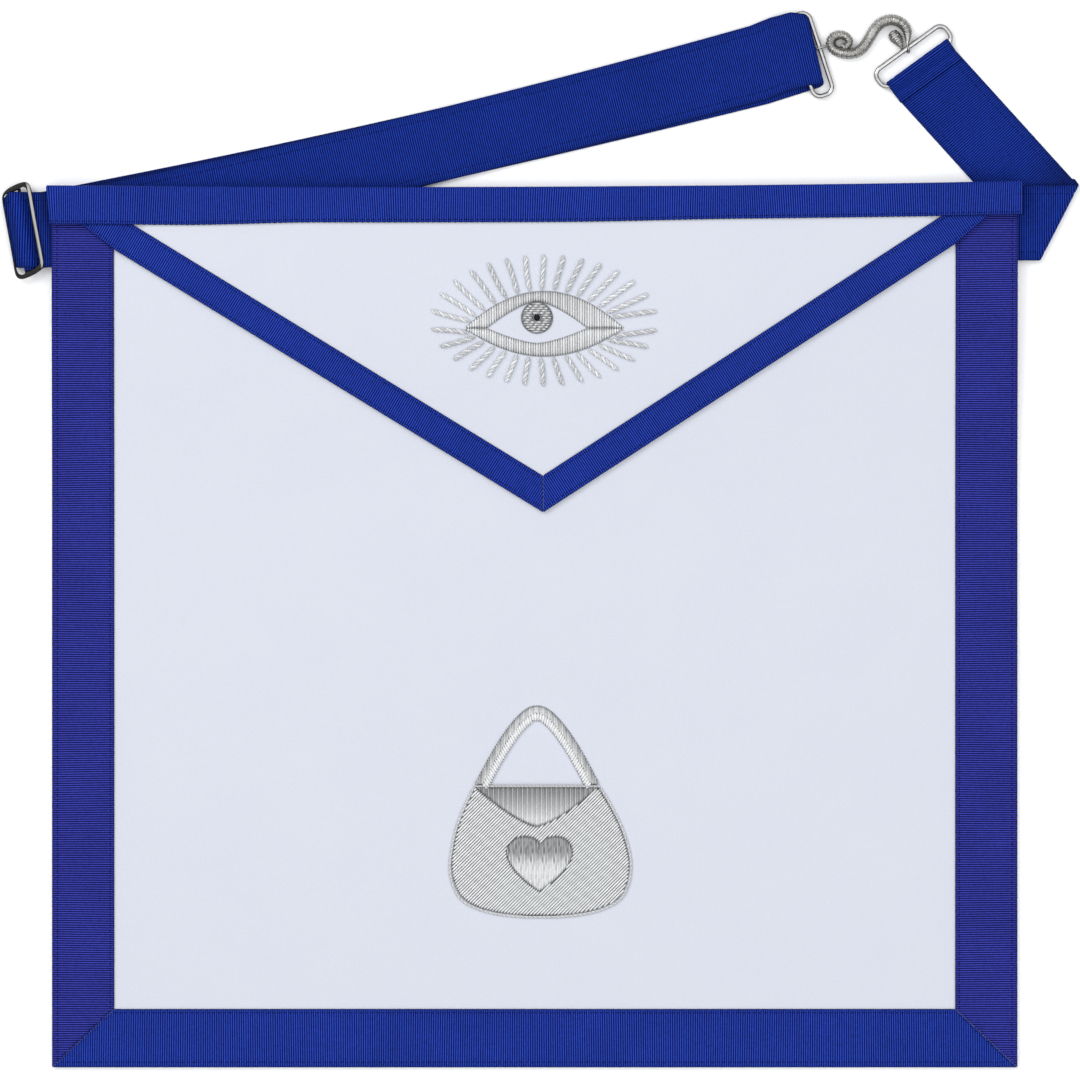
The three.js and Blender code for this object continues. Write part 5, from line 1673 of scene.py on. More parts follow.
@dataclass(frozen=True)
class SnakeSizes:
    """The serpent clasp. Places are shares of the distance between the two rings' outer bars."""

    radius: float = 2.35
    hook: float = 0.5
    left_grip: float = 1.6
    right_grip: float = -0.5
    ridge: float = 0.9
    eye: float = 0.45
    body: tuple[tuple[float, float, float], ...] = (
        (-0.254, 0.04, 0.5), (-0.208, 0.017, 0.62), (-0.162, 0.063, 0.74), (-0.191, 0.127, 0.82),
        (-0.266, 0.152, 0.88), (-0.342, 0.127, 0.92), (-0.375, 0.063, 0.95), (-0.347, -0.006, 0.98),
        (-0.26, -0.052, 1.0), (-0.162, -0.063, 1.02), (-0.065, -0.04, 1.04), (0.004, 0.016, 1.06),
        (0.068, 0.115, 1.06), (0.141, 0.234, 1.06), (0.212, 0.299, 1.06), (0.31, 0.331, 1.05),
        (0.407, 0.313, 1.04), (0.478, 0.259, 1.0), (0.509, 0.184, 0.86),
    )
    head: tuple[tuple[float, float, float, float], ...] = (
        (0.43, 0.04, 0.5, 0.6), (0.409, 0.082, 0.9, 0.9), (0.366, 0.138, 1.15, 1.1), (0.325, 0.196, 0.8, 1.0),
    )


@dataclass
class FittingWork(Work):
    """The slide, the two rings and the serpent clasp."""

    sizes: BeltSizes = BeltSizes()

    def slide(self, shape: SlideSizes = SlideSizes()) -> None:
        """Makes the three-bar slide: a stamped frame with slanted ends, and its middle bar."""
        size = self.sizes
        count = 220
        loops = []
        for corners in (shape.outer, shape.inner):
            loop = spline(np.array([(u, v, 0.0) for u, v in corners]), 8, closed=True)
            loop = np.concatenate([loop, loop[:1]])
            total = float(lengths_along(loop)[-1])
            loops.append(along_path(loop, np.arange(count) / count * total)[:, :2])
        share = np.array([0.0, 0.05, 0.14, 0.28, 0.5, 0.72, 0.86, 0.95, 1.0])
        crown = np.sqrt(1.0 - (2.0 * share - 1.0) ** 6) * shape.half
        flat = loops[0][:, None] + (loops[1] - loops[0])[:, None] * share[None, :, None]
        upper = joined(flat[..., 0], flat[..., 1], crown)
        lower = (upper * np.array([1.0, 1.0, -1.0]))[:, -2:0:-1]
        u, v, z = np.moveaxis(np.concatenate([upper, lower], axis=1), -1, 0)
        # The right bar's upward crown is bright: worn plating and a painted highlight where light falls on
        # it.
        wear_and_highlight = smooth((u - shape.bright_crown_from) / 0.3) * (z > 0.86 * shape.half)
        wear_and_highlight = wear_and_highlight * smooth((shape.bright_crown_to - u) / 0.2)
        points = size.slide.point(u + shape.offset, v, z + size.slide_level)
        part = MeshParts()
        part.add(points.reshape(-1, 3), ring_quads(*u.shape, True), joined(u, v, wear_and_highlight).reshape(-1, 3))
        reach = np.linspace(-1.0, 1.0, 9)
        bar = size.slide.point(shape.offset + 1.6 * reach, 17.6 * reach, size.slide_level)
        part.tube(bar, 0.7, 12, 0.0)
        dress(part.piece("slide"), self.slide_finish(), ["slider"])

    def slide_finish(self) -> Material:
        """Returns dark plating that is bright where the shade says so: worn plating and a painted highlight
        on the right bar's crown.
        """
        desk = NodeDesk("slide_plating")
        _, _, shade = desk.weave()
        wear = desk.noise(1.8, 4.0, 0.6)
        wear_and_highlight = desk.product(shade, desk.spread(wear, 0.75, 1.25))
        desk.shade(
            Base_Color=desk.mix(wear_and_highlight, (0.022, 0.021, 0.02), (0.33, 0.32, 0.30)), Metallic=1.0,
            Roughness=desk.spread(wear, 0.42, 0.28),
        )
        desk.relief(desk.noise(0.5, 2.0), 0.02)
        return desk.material

    def ring(self, frame: CrossFrame, hand: Hand) -> None:
        """Makes one ring."""
        name = hand.name.lower()
        loop = WireLoop(length=37.9, width=10.6, wire=1.0, corner=3.5, level=self.sizes.ring_level)
        made = MeshParts()
        made.tube(loop.path(frame), loop.wire, 16, closed=True, upright=False)
        dress(made.piece(f"ring_wire_{name}"), self.finishes.nickel, [f"ring_{name}"])

    def clasp(self, snake: SnakeSizes = SnakeSizes()) -> None:
        """Makes the serpent: a coiled tail, a scaled body, the hook and the head."""
        size = self.sizes
        level = size.ring_level
        left = size.ring_left.point(size.ring_bar, snake.left_grip, level)
        right = size.ring_right.point(-size.ring_bar, snake.right_grip, level)
        middle, along = (left + right) / 2.0, right - left
        above = np.array([-along[1], along[0], 0.0])
        rest = snake.radius + 0.1

        def place(across: float, up: float, z: float) -> Array:
            """Returns a place on the clasp from its shares."""
            spot = middle + along * across + above * up
            return np.array([spot[0], spot[1], z])

        turn = 1.2 + snake.hook
        drift = 2.5 * snake.hook * np.linspace(1.0, -1.0, 9)
        angle = np.radians(np.linspace(50.0, 300.0, 9))
        u, rise = -size.ring_bar - turn * np.cos(angle), turn * np.sin(angle)
        hook = size.ring_right.point(u, snake.right_grip + drift, level + rise)
        rows = [(*place(a, b, rest), thick * snake.radius) for a, b, thick in snake.body]
        rows += [(*spot, snake.hook) for spot in hook]
        rows += [(*place(a, b, lift * rest), thick * snake.radius * 1.08) for a, b, thick, lift in snake.head]
        fine = spline(np.array(rows), 18)
        fine[:, 3] = np.clip(fine[:, 3], snake.hook * 0.9, snake.radius * 1.25)
        fine[0, 3] *= 0.4
        fine[-4:, 3] *= np.array([0.92, 0.8, 0.6, 0.3])

        def scales(distance: Array, angle: Array) -> Array:
            """Returns the radius factor of the rings and scales of the skin."""
            ring = np.abs(np.sin(pi * distance / snake.ridge))
            row = 0.5 + 0.5 * np.cos(7.0 * angle + tau * distance / (2.0 * snake.ridge))
            thick = np.interp(distance[:, 0], lengths_along(fine[:, :3]), fine[:, 3])[:, None]
            depth = 0.25 * smooth((thick - 0.55) / 0.3)
            return 1.0 - depth * (1.0 - ring**0.7) - 0.35 * depth * row

        made = MeshParts()
        made.tube(fine[:, :3], fine[:, 3], 22, upright=False, relief=scales)
        run = float(np.linalg.norm(place(*snake.body[6][:2], rest) - left))
        angle = np.radians(np.linspace(90.0, 270.0, 13))
        u = np.concatenate([[run], turn * np.cos(angle), [run]])
        rise = np.concatenate([[turn / 2.0], turn * np.sin(angle), [-turn / 2.0]])
        eyelet = size.ring_left.point(size.ring_bar + u, snake.left_grip, level + rise)
        made.tube(eyelet, snake.hook, 12, upright=False)
        _, nose, cheek, neck = snake.head
        facing = unit(place(nose[0], nose[1], 0.0) - place(neck[0], neck[1], 0.0))
        sideways = np.array([-facing[1], facing[0], 0.0])
        width = cheek[2] * snake.radius
        angle = np.linspace(-0.5 * pi, 0.5 * pi, 9)
        for sign in (-1.0, 1.0):
            centre = place(cheek[0], cheek[1], cheek[3] * rest) + sideways * sign * width / 2.0
            line = centre + UP * width * 0.8 + facing * (snake.eye * np.sin(angle))[:, None]
            made.tube(line, np.maximum(snake.eye * np.cos(angle), 0.02), 10)
        dress(made.piece("serpent_clasp"), self.finishes.silver, ["snake_clasp"])


# Raised embroidery


@dataclass(frozen=True)
class Ground:
    """The surface that embroidery is sewn on."""

    surface: Height

    def at(self, x: Array, y: Array, rise: Array | float) -> Array:
        """Returns points at a rise above the surface."""
        x, y = np.broadcast_arrays(np.asarray(x, float), y)
        return joined(x, y, self.surface(x, y) + rise)


def satin(
    made: MeshParts, ground: Ground, begin: Array, end: Array, rise: Callable[[Array, Array, Array], Array],
    radius: float, shade: Callable[[Array, Array], Array],
) -> None:
    """Lays threads side by side between pairs of places.

    Args:
        made: The mesh that the threads go to.
        ground: What they are sewn on.
        begin: Where each thread starts, in the plan.
        end: Where it ends.
        rise: Height above the ground for places in the plan and shares of a thread.
        radius: Half the thread's thickness.
        shade: Brightness for places in the plan.
    """
    for first, last in zip(begin, end):
        length = float(np.hypot(*(last - first)))
        if length < 0.5:
            continue
        count = int(np.clip(length / 0.9, 5, 60))
        t = np.linspace(0.0, 1.0, count)
        spots = first + (last - first) * t[:, None]
        distance = np.minimum(t, 1.0 - t) * length
        drop = 0.55 * bounded(1.0 - distance / 0.7)
        line = ground.at(spots[:, 0], spots[:, 1], rise(spots[:, 0], spots[:, 1], t) - drop)
        size = radius * (0.55 + 0.45 * bounded(distance / 0.5))
        made.tube(line, size, 6, shade(spots[:, 0], spots[:, 1]))


def rope(made: MeshParts, line: Array, radius: float, pitch: float, shade: float, taper: float) -> None:
    """Twists two strands of thread round a line.

    Args:
        made: The mesh that the strands go to.
        line: The rope's middle line.
        radius: Half the rope's thickness.
        pitch: Length of one full turn.
        shade: Brightness of the strands.
        taper: Share of the rope over which each end thins.
    """
    total = float(lengths_along(line)[-1])
    wanted = np.linspace(0.0, total, max(8, int(total / pitch * 12)))
    middle = along_path(line, wanted)
    tangent = unit(np.gradient(middle, axis=0))
    sideways = unit(np.cross(UP, tangent))
    up = np.cross(tangent, sideways)
    ends = np.clip(np.minimum(wanted, total - wanted) / max(taper * total, 1e-6), 0.55, 1.0)
    for strand in (0.0, pi):
        angle = tau * wanted / pitch + strand
        offset = 0.48 * radius * ends
        path = (
            middle + (offset * np.cos(angle))[:, None] * sideways + (offset * np.sin(angle))[:, None] * up
        )
        made.tube(path, 0.56 * radius * ends, 6, shade + (0.12 if strand else -0.08))


@dataclass
class EyeWork(Work):
    """The eye in its rays, on the flap."""

    half: float = 33.5
    opening: float = 21.0
    iris: float = 6.3
    bead: float = 1.35
    above_point: float = 81.4
    lid_rises: Pair = (15.6, 11.9)
    ray_count: int = 30

    def __post_init__(self) -> None:
        """Places the eye above the flap's point."""
        self.ground = Ground(PLAN.flap_top)
        self.centre = np.array([0.95, PLAN.point[1] + self.above_point])
        self.corners = self.centre + np.array([3.0, -4.4])

    def outer(self, x: Array) -> Array:
        """Returns the lids' outer curve for a rise of 1."""
        return 1.0 - np.clip((x - self.corners[0]) / self.half, -1.0, 1.0) ** 2

    def inner(self, x: Array) -> Array:
        """Returns the opening's curve for a rise of 1."""
        return 1.0 - bounded(np.abs(x - self.centre[0]) / self.opening) ** 1.5

    def lid(self, name: str, sign: float, outside: float, inside: float) -> None:
        """Makes one lid of upright satin stitches over a pad.

        Args:
            name: The solid that the lid stands for.
            sign: 1 for the upper lid and -1 for the lower.
            outside: Rise of the lid's outer edge.
            inside: Rise of the opening.
        """
        made = MeshParts()
        pitch = 1.03
        x = self.corners[0] + np.arange(-self.half + 0.6, self.half - 0.3, pitch)
        low = np.maximum(inside * self.inner(x), 0.12)
        high = np.maximum(outside * self.outer(x), low + 0.5)
        begin, end = (joined(x, self.corners[1] + sign * edge) for edge in (low, high))

        def rise(px: Array, py: Array, t: Array) -> Array:
            """Returns a low arch from one end of a stitch to the other."""
            span = bounded(1.0 - np.abs((px - self.corners[0]) / self.half) ** 4)
            return 0.55 + 0.75 * np.sin(pi * t) * (0.4 + 0.6 * span)

        def shade(px: Array, py: Array) -> Array:
            """Returns silver that darkens towards the lid's outer edge."""
            return 0.86 + 0.1 * np.sin(px * 1.7) - 0.014 * np.abs(py - self.corners[1])

        satin(made, self.ground, begin, end, rise, 0.5, shade)
        self.pad(made, begin, end)
        self.lay(made, f"{name}_bullion", name)

    def pad(self, made: MeshParts, begin: Array, end: Array) -> None:
        """Adds the pad that shows between the threads, coloured dark as painted shade in the gaps."""
        t = np.linspace(0.0, 1.0, 7)
        spots = begin[:, None] + (end - begin)[:, None] * t[None, :, None]
        x, y = spots[..., 0], spots[..., 1]
        arch = 0.35 + 0.7 * np.sin(pi * t)
        made.slab(self.ground.at(x, y, arch * 0.85), self.ground.at(x, y, 0.0), joined(x, y, 0.2))

    def iris_and_pupil(self) -> None:
        """Makes the iris of coiled rows, and the bead in its middle."""
        x, y = self.centre
        made = MeshParts()

        def rise(px: Array, py: Array, t: Array) -> Array:
            """Returns a shallow dome round the middle."""
            return 0.6 + 0.75 * np.sqrt(bounded(1.0 - ((px - x) ** 2 + (py - y) ** 2) / 44.0))

        def shade(px: Array, py: Array) -> Array:
            """Returns silver with dull spots."""
            return 0.52 + 0.4 * np.sin(px * 2.4 + py * 4.1)

        for row in np.arange(-self.iris + 0.5, self.iris, 0.97):
            half = sqrt(max(self.iris**2 - row**2, 0.0))
            hole = sqrt(max((self.bead + 0.45) ** 2 - row**2, 0.0))
            spans = [(-half, half)] if hole == 0.0 else [(-half, -hole), (hole, half)]
            begin, end = (self.centre + np.array([(span[k], row) for span in spans]) for k in (0, 1))
            satin(made, self.ground, begin, end, rise, 0.47, shade)
        angle = np.linspace(0.0, tau, 49)[:-1]
        edge = self.iris + 0.1
        rim = self.ground.at(x + edge * np.cos(angle), y + edge * np.sin(angle), 0.4)
        made.tube(rim, 0.3, 6, 0.12, closed=True)
        self.lay(made, "iris_bullion", "eye_iris")
        ball = MeshParts()
        turn = np.linspace(-0.5 * pi, 0.5 * pi, 17)
        floor = float(PLAN.flap_top(np.array(x), np.array(y)))
        line = joined(x + self.bead * np.sin(turn), y, floor + self.bead + 0.04)
        ball.tube(line, np.maximum(self.bead * np.cos(turn), 0.03), 24)
        dress(ball.piece("pupil_bead"), self.finishes.bead, ["eye_pupil"])

    def rays(self) -> None:
        """Makes the thirty rays of twisted purl."""
        above, below = self.lid_rises
        angle = np.linspace(0.0, tau, 721)
        ellipse = joined(self.corners[0] + 47.7 * np.sin(angle), self.centre[1] - 1.1 + 27.5 * np.cos(angle))
        done = lengths_along(ellipse)
        t = np.linspace(0.0, 1.0, 9)
        for k in range(self.ray_count):
            tip = ellipse[int(np.searchsorted(done, done[-1] * k / self.ray_count))]
            root_x = self.centre[0] + (tip[0] - self.centre[0]) * 0.62
            rise = above if tip[1] > self.corners[1] else -below
            root = np.array([root_x, self.corners[1] + rise * float(self.outer(np.array(root_x)))])
            forward = unit(tip - root)
            slope = -2.0 * rise * (root_x - self.corners[0]) / self.half**2
            square = abs(forward[1] - slope * forward[0]) / hypot(1.0, slope)
            start = root + forward * (0.7 / max(square, 0.3))
            side = np.array([-forward[1], forward[0]])
            bend = 0.35 * sin(3.1 * k) * np.sin(pi * t)
            spots = start + (tip - start) * t[:, None] + side * bend[:, None]
            made = MeshParts()
            line = self.ground.at(*spots.T, 0.72)
            rope(made, line, 0.98, 4.4, 0.74 + 0.08 * sin(5.3 * k), 0.08)
            name = f"ray_{k + 1:02d}"
            self.lay(made, f"{name}_purl", name)


@dataclass(frozen=True)
class PurseSizes:
    """The purse's outline and its parts, from the middle of its mouth."""

    x: float = 1.0
    y: float = 118.1
    width: float = 75.2
    depth: float = 54.2
    shift: float = 1.4
    flap_depth: float = 16.5
    heart_half: float = 13.7
    heart_drop: float = 27.5
    heart_lobe: float = 6.5
    heart_dip: float = 0.45
    heart_point: float = 16.4
    outline: tuple[Pair, ...] = (
        (0.0, 0.69), (0.14, 0.8), (0.31, 0.91), (0.48, 0.977), (0.6, 1.0),
        (0.73, 0.978), (0.856, 0.89), (0.938, 0.69), (0.983, 0.42), (1.0, 0.16),
    )


@dataclass
class PurseWork(Work):
    """The purse with its flap, heart, handle and edge cord, on the panel."""

    sizes: PurseSizes = PurseSizes()

    def __post_init__(self) -> None:
        """Draws the outline."""
        self.ground = Ground(PLAN.panel_top)
        self.rows = spline(np.array([(down, half, 0.0) for down, half in self.sizes.outline]), 8)
        self.mouth = self.sizes.outline[0][1] * self.sizes.width / 2.0
        self.heart_x = self.sizes.x + 1.0

    def half_width(self, down: Array) -> Array:
        """Returns half the purse's width at shares of its depth."""
        return np.interp(down, self.rows[:, 0], self.rows[:, 1]) * self.sizes.width / 2.0

    def middle(self, down: Array) -> Array:
        """Returns the middle of the purse at shares of its depth."""
        return self.sizes.x + self.sizes.shift * np.minimum(down * 2.0, 1.0)

    def flap_low(self, x: Array) -> Array:
        """Returns the lower edge of the purse's flap."""
        share = bounded(np.abs(x - self.sizes.x) / self.mouth)
        return self.sizes.y - self.sizes.flap_depth * (1.0 - share**1.4)

    def heart(self, x: Array) -> tuple[Array, Array]:
        """Returns the heart's lower and upper edge."""
        size = self.sizes
        wide = bounded(np.abs(x - self.heart_x) / size.heart_half)
        level = size.y - size.heart_drop
        lobe = np.sqrt(bounded(1.0 - (2.0 * wide - 1.0) ** 2))
        lobe = np.where(wide < 0.5, size.heart_dip + (1.0 - size.heart_dip) * lobe, lobe)
        return level - size.heart_point * (1.0 - wide) ** 0.55, level + size.heart_lobe * lobe

    def dome(self, x: Array, y: Array) -> Array:
        """Returns the rise of the stuffed body."""
        down = bounded((self.sizes.y - y) / self.sizes.depth)
        across = bounded(np.abs(x - self.middle(down)) / np.maximum(self.half_width(down), 0.1))
        side = np.sqrt(1.0 - across**4)
        return 0.45 + 0.85 * side * np.sqrt(1.0 - down**8)

    def inside(self, x: Array, y: Array, clear: float) -> Array:
        """Returns where the striped body shows, clear of its edge, the flap and the heart.

        Args:
            x: Places across.
            y: Places up.
            clear: Distance kept from every edge.

        Returns:
            True where the stripes show.
        """
        down = (self.sizes.y - y) / self.sizes.depth
        held = bounded(down)
        within = np.abs(x - self.middle(held)) < self.half_width(held) - clear
        within &= (down > 0.004) & (down < 1.0 - clear / self.sizes.depth)
        under_flap = (np.abs(x - self.sizes.x) < self.mouth) & (y > self.flap_low(x) - clear)
        low, high = self.heart(x)
        on_heart = np.abs(x - self.heart_x) < self.sizes.heart_half + clear
        on_heart &= (y > low - clear * 1.3) & (y < high + clear)
        return within & ~under_flap & ~on_heart

    def body(self) -> None:
        """Makes the striped body of slanting purl, over its pad."""
        made = MeshParts()
        forward = np.array([cos(radians(45.0)), sin(radians(45.0))])
        square = np.array([-forward[1], forward[0]])
        origin = np.array([self.heart_x, self.sizes.y - self.sizes.depth / 2.0])
        reach = np.arange(-70.0, 70.0, 0.2)[:, None]

        def rise(px: Array, py: Array, t: Array) -> Array:
            """Returns the dome of the stuffed body."""
            return self.dome(px, py)

        for k, offset in enumerate(np.arange(-50.0, 50.0, 1.03)):
            spots = origin + square * offset + reach * forward
            kept = self.inside(spots[:, 0], spots[:, 1], 0.1)
            edges = np.flatnonzero(np.diff(np.concatenate([[0], kept.astype(int), [0]]))).reshape(-1, 2)
            edges = edges[edges[:, 1] - edges[:, 0] > 3]

            def shade(px: Array, py: Array, row: int = k) -> Array:
                """Returns silver that changes a little from row to row."""
                return 0.9 + 0.04 * np.sin(px * 0.9 + 2.4 * row) + 0.04 * np.sin(py * 1.9 + 5.1 * row)

            satin(made, self.ground, spots[edges[:, 0]], spots[edges[:, 1] - 1], rise, 0.415, shade)
        # The pad under the stripes is nearly black: painted shade in the gaps between the rows.
        down = np.linspace(0.0, 1.0, 40)[:, None]
        half = np.maximum(self.half_width(down) - 0.3, 0.5)
        x = self.middle(down) + half * np.linspace(-1.0, 1.0, 41)
        y = np.broadcast_to(self.sizes.y - down * self.sizes.depth, x.shape)
        upper = self.ground.at(x, y, self.dome(x, y) * 0.85 - 0.1)
        made.slab(upper, self.ground.at(x, y, 0.0), joined(x, y, 0.05))
        self.lay(made, "purse_stripes", "purse_body")

    def flap(self) -> None:
        """Makes the purse's flap of upright satin stitches."""
        size = self.sizes
        made = MeshParts()
        x = np.arange(-self.mouth + 0.4, self.mouth - 0.2, 0.72) + size.x

        def rise(px: Array, py: Array, t: Array) -> Array:
            """Returns a dome that is a little higher than the body."""
            return self.dome(px, np.minimum(py, size.y)) + 0.25 + 0.25 * np.sin(pi * t)

        def shade(px: Array, py: Array) -> Array:
            """Returns a grey that lightens towards the flap's lower edge."""
            down = (size.y - py) / size.flap_depth
            return 0.29 + 0.61 * bounded(1.2 * down) ** 1.2 + 0.13 * np.sin(px * 23.1)

        satin(made, self.ground, joined(x, self.flap_low(x)), joined(x, size.y), rise, 0.345, shade)
        mouth = np.linspace(-self.mouth - 0.6, self.mouth + 0.6, 60) + size.x
        rope(made, self.ground.at(mouth, size.y + 0.25, 1.35), 0.5, 1.6, 0.6, 0.02)
        self.lay(made, "purse_flap_bullion", "purse_flap")

    def heart_piece(self) -> None:
        """Makes the heart of upright satin stitches that change from grey to bright."""
        size = self.sizes
        made = MeshParts()
        x = np.arange(-size.heart_half + 0.3, size.heart_half - 0.2, 0.7) + self.heart_x
        low, high = self.heart(x)

        def rise(px: Array, py: Array, t: Array) -> Array:
            """Returns a dome over the body."""
            return self.dome(px, py) + 0.1 + 0.4 * np.sin(pi * t)

        def shade(px: Array, py: Array) -> Array:
            """Returns silver, grey in the upper middle and bright below and at the sides."""
            own = np.sin(px * 23.1)
            grey = smooth((py - (size.y - size.heart_drop) + 5.0 + 2.0 * own) / 4.0)
            patch = smooth(3.0 * np.sin(px * 1.3) * np.sin(py * 0.9 + 2.0 * own) - 1.0)
            return np.clip(0.95 - 0.53 * grey - 0.2 * patch + 0.08 * own, 0.05, 1.0)

        satin(made, self.ground, joined(x, low), joined(x, high), rise, 0.35, shade)
        self.lay(made, "purse_heart_bullion", "purse_heart")

    def handle(self) -> None:
        """Makes the handle: grey satin outside and bright slanted purl inside."""
        made = MeshParts()
        middle, foot = self.sizes.x, self.sizes.y + 0.6
        span, height, band, bend = 23.0, 30.6, 3.0, 0.12

        def curve(x: Array) -> Array:
            """Returns the handle's middle line."""
            share = np.hypot((x - middle) / span, bend)
            return foot + height * (1.0 - (share**1.5 - bend**1.5) * 1.024)

        def half(x: Array) -> Array:
            """Returns half the band's width, measured straight up the plan."""
            share = np.abs(x - middle) / span
            slope = height * 1.5 * share / np.hypot(share, bend) ** 0.5 / span
            return band * np.sqrt(1.0 + slope**2)

        x = np.arange(-span - 2.6, span + 2.6, 0.66) + middle
        low = np.maximum(curve(x) - 0.7, foot)
        high = curve(x) + half(x)
        kept = high > low + 0.4
        satin(
            made, self.ground, joined(x, low)[kept], joined(x, high)[kept],
            lambda px, py, t: 0.6 + 0.5 * np.sin(pi * t), 0.35,
            lambda px, py: 0.85 - 0.1 * np.clip(py - curve(px), 0.0, 4.0) + 0.1 * np.sin(px * 2.3),
        )
        places = np.linspace(-span, span, 400) + middle
        line = joined(places, curve(places), 0.0)
        wanted = np.arange(0.7, lengths_along(line)[-1] - 0.4, 1.25)
        spots = along_path(line, wanted)[:, :2]
        ahead = unit(along_path(line, wanted + 0.1)[:, :2] - spots)
        aside = spots[:, :1] - middle
        slant = unit(joined(ahead[:, 1], -ahead[:, 0]) + 0.55 * ahead * np.tanh(aside / 3.0))
        far = spots + slant * (band + 0.5)
        flat = float(curve(np.array(middle))) - band - 0.5
        far[:, 1] = np.maximum(far[:, 1], flat - 1.5 * np.clip(np.abs(aside[:, 0]) - 2.2, 0.0, None))
        satin(
            made, self.ground, spots - 0.35 * slant, far, lambda px, py, t: 0.75 + 0.35 * np.sin(pi * t),
            0.6, lambda px, py: 0.9 + 0.06 * np.sin(px * 3.7),
        )
        # The pad under the handle is nearly black: painted shade in the gaps between the threads.
        x = np.linspace(-span - 1.5, span + 1.5, 90)[:, None] + middle
        low = np.maximum(curve(x) - half(x), foot)
        high = np.maximum(curve(x) + half(x), low + 0.4)
        t = np.linspace(0.03, 0.97, 7)
        y = low + (high - low) * t
        upper = self.ground.at(x, y, 0.45 + 0.2 * np.sin(pi * t))
        made.slab(upper, self.ground.at(x, y, 0.0), joined(x, y, 0.05))
        self.lay(made, "purse_handle_bullion", "purse_handle")

    def cord(self) -> None:
        """Makes the twisted cord round the body."""
        made = MeshParts()
        down, gap = self.rows[:, 0], 0.55
        half = self.rows[:, 1] * self.sizes.width / 2.0 + gap
        y = self.sizes.y - down * (self.sizes.depth + gap)
        right = joined(self.middle(down) + half, y)[::-1]
        plan = np.concatenate([joined(self.middle(down) - half, y), right])
        rope(made, self.ground.at(*plan.T, gap), 0.5, 1.9, 0.7, 0.01)
        self.lay(made, "purse_edge_cord", "purse_cord")


# Room


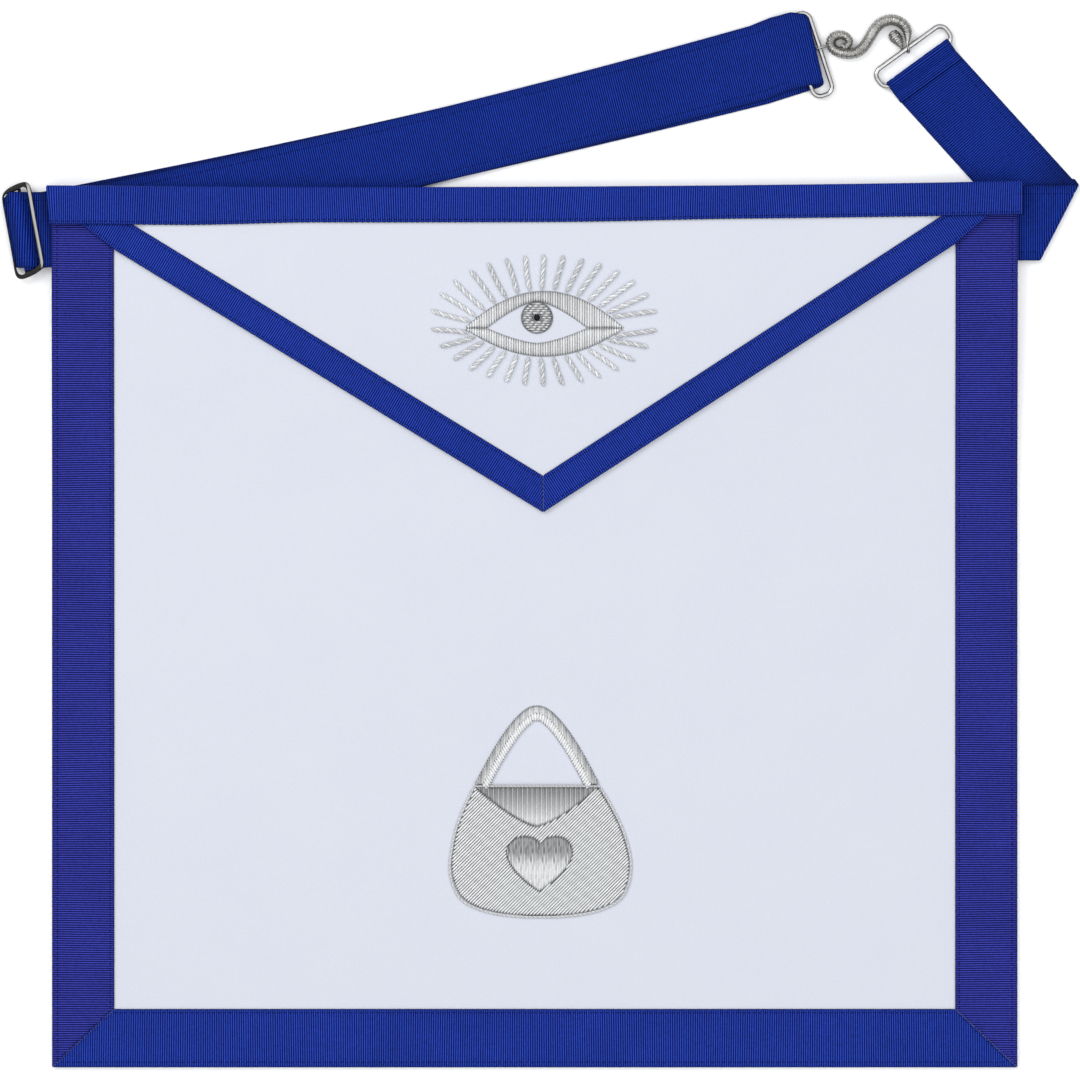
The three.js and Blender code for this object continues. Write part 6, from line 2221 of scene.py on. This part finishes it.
@dataclass(frozen=True)
class Studio:
    """The table, the lights and the camera straight above."""

    lens: float = 400.0
    sensor: float = 36.0
    reach: float = 4.0
    ceiling: tuple[float, float, float, float] = (0.5, 0.84, 0.32, 1.63)

    def table(self, finishes: Finishes) -> None:
        """Makes the pale surface that the apron lies on."""
        mesh = bpy.data.meshes.new("tabletop")
        corners = [(-1, -1), (1, -1), (1, 1), (-1, 1)]
        mesh.from_pydata([(self.reach * x, self.reach * y, 0.0) for x, y in corners], [], [(0, 1, 2, 3)])
        top = stand("tabletop", mesh)
        top.location.z = -0.0002
        mesh.materials.append(finishes.table)
        top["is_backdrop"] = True

    def lamp(self, name: str, place: Sequence[float], size: float, watts: float) -> None:
        """Hangs one soft square light that faces the apron.

        Args:
            name: The light's name.
            place: Where it hangs, in metres.
            size: Side of its square.
            watts: Its power.
        """
        data = bpy.data.lights.new(name, "AREA")
        data.size, data.energy = size, watts
        lamp = stand(name, data)
        lamp.location = place
        lamp.rotation_mode = "QUATERNION"
        lamp.rotation_quaternion = (-Vector(place)).to_track_quat("-Z", "Y")

    def lights(self) -> None:
        """Lights the room from a bright ceiling, with a soft key from the upper left."""
        world = bpy.data.worlds.new("studio_air")
        world.use_nodes = True
        tree = world.node_tree
        air = tree.nodes["Background"]
        air.inputs["Color"].default_value = (0.97, 0.985, 1.0, 1.0)
        place = tree.nodes.new("ShaderNodeTexCoord")
        parts = tree.nodes.new("ShaderNodeSeparateXYZ")
        ceiling = tree.nodes.new("ShaderNodeMapRange")
        ceiling.interpolation_type = "SMOOTHSTEP"
        for name, value in zip(("From Min", "From Max", "To Min", "To Max"), self.ceiling):
            ceiling.inputs[name].default_value = value
        tree.links.new(place.outputs["Generated"], parts.inputs["Vector"])
        tree.links.new(parts.outputs["Z"], ceiling.inputs["Value"])
        tree.links.new(ceiling.outputs["Result"], air.inputs["Strength"])
        bpy.context.scene.world = world
        self.lamp("key", (-1.1, 1.0, 1.5), 0.9, 14.0)
        self.lamp("fill", (1.3, -0.6, 1.6), 1.2, 6.0)
        bpy.context.scene.view_settings.view_transform = "Standard"

    def camera(self) -> None:
        """Sets the camera straight above the photograph's middle."""
        view = PHOTO_PIXELS / PIXELS_PER_MM / 1000.0
        across, down = PHOTO_PIXELS / 2.0 - ORIGIN_PIXEL[0], ORIGIN_PIXEL[1] - PHOTO_PIXELS / 2.0
        x, y, _ = RowFrame.metres(np.array([across, down, 0.0]) / PIXELS_PER_MM)
        data = bpy.data.cameras.new("camera")
        data.lens, data.sensor_width, data.clip_end = self.lens, self.sensor, 20.0
        eye = stand("camera", data)
        eye.location = (x, y, self.lens / self.sensor * view)
        bpy.context.scene.camera = eye


def main() -> None:
    """Builds the apron in order."""
    logging.basicConfig(level=logging.INFO, format="%(name)s %(message)s")
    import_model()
    RowFrame.find()
    finishes = Finishes()
    studio = Studio()
    studio.table(finishes)
    studio.lights()
    studio.camera()

    belt = BeltWork(finishes)
    belt.left()
    belt.right()
    belt.finish()
    fittings = FittingWork(finishes)
    fittings.slide()
    fittings.ring(fittings.sizes.ring_left, Hand.LEFT)
    fittings.ring(fittings.sizes.ring_right, Hand.RIGHT)
    fittings.clasp()

    ribbons = RibbonWork(finishes)
    leather = LeatherWork(finishes)
    leather.panel()
    leather.flap(ribbons.outline())
    for hand in Hand:
        ribbons.side_border(hand)
        ribbons.flap_ribbon(hand)
    ribbons.bottom_border()
    ribbons.binding()
    ribbons.finish()

    eye = EyeWork(finishes)
    eye.lid("eye_upper_lid", 1.0, eye.lid_rises[0], 11.2)
    eye.lid("eye_lower_lid", -1.0, eye.lid_rises[1], 6.3)
    eye.iris_and_pupil()
    eye.rays()
    purse = PurseWork(finishes)
    purse.body()
    purse.flap()
    purse.heart_piece()
    purse.handle()
    purse.cord()

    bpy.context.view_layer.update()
    total = sum(len(p.data.loop_triangles) or len(p.data.polygons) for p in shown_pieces())
    LOG.info("about %d faces in all", total)


if __name__ == "__main__":
    main()
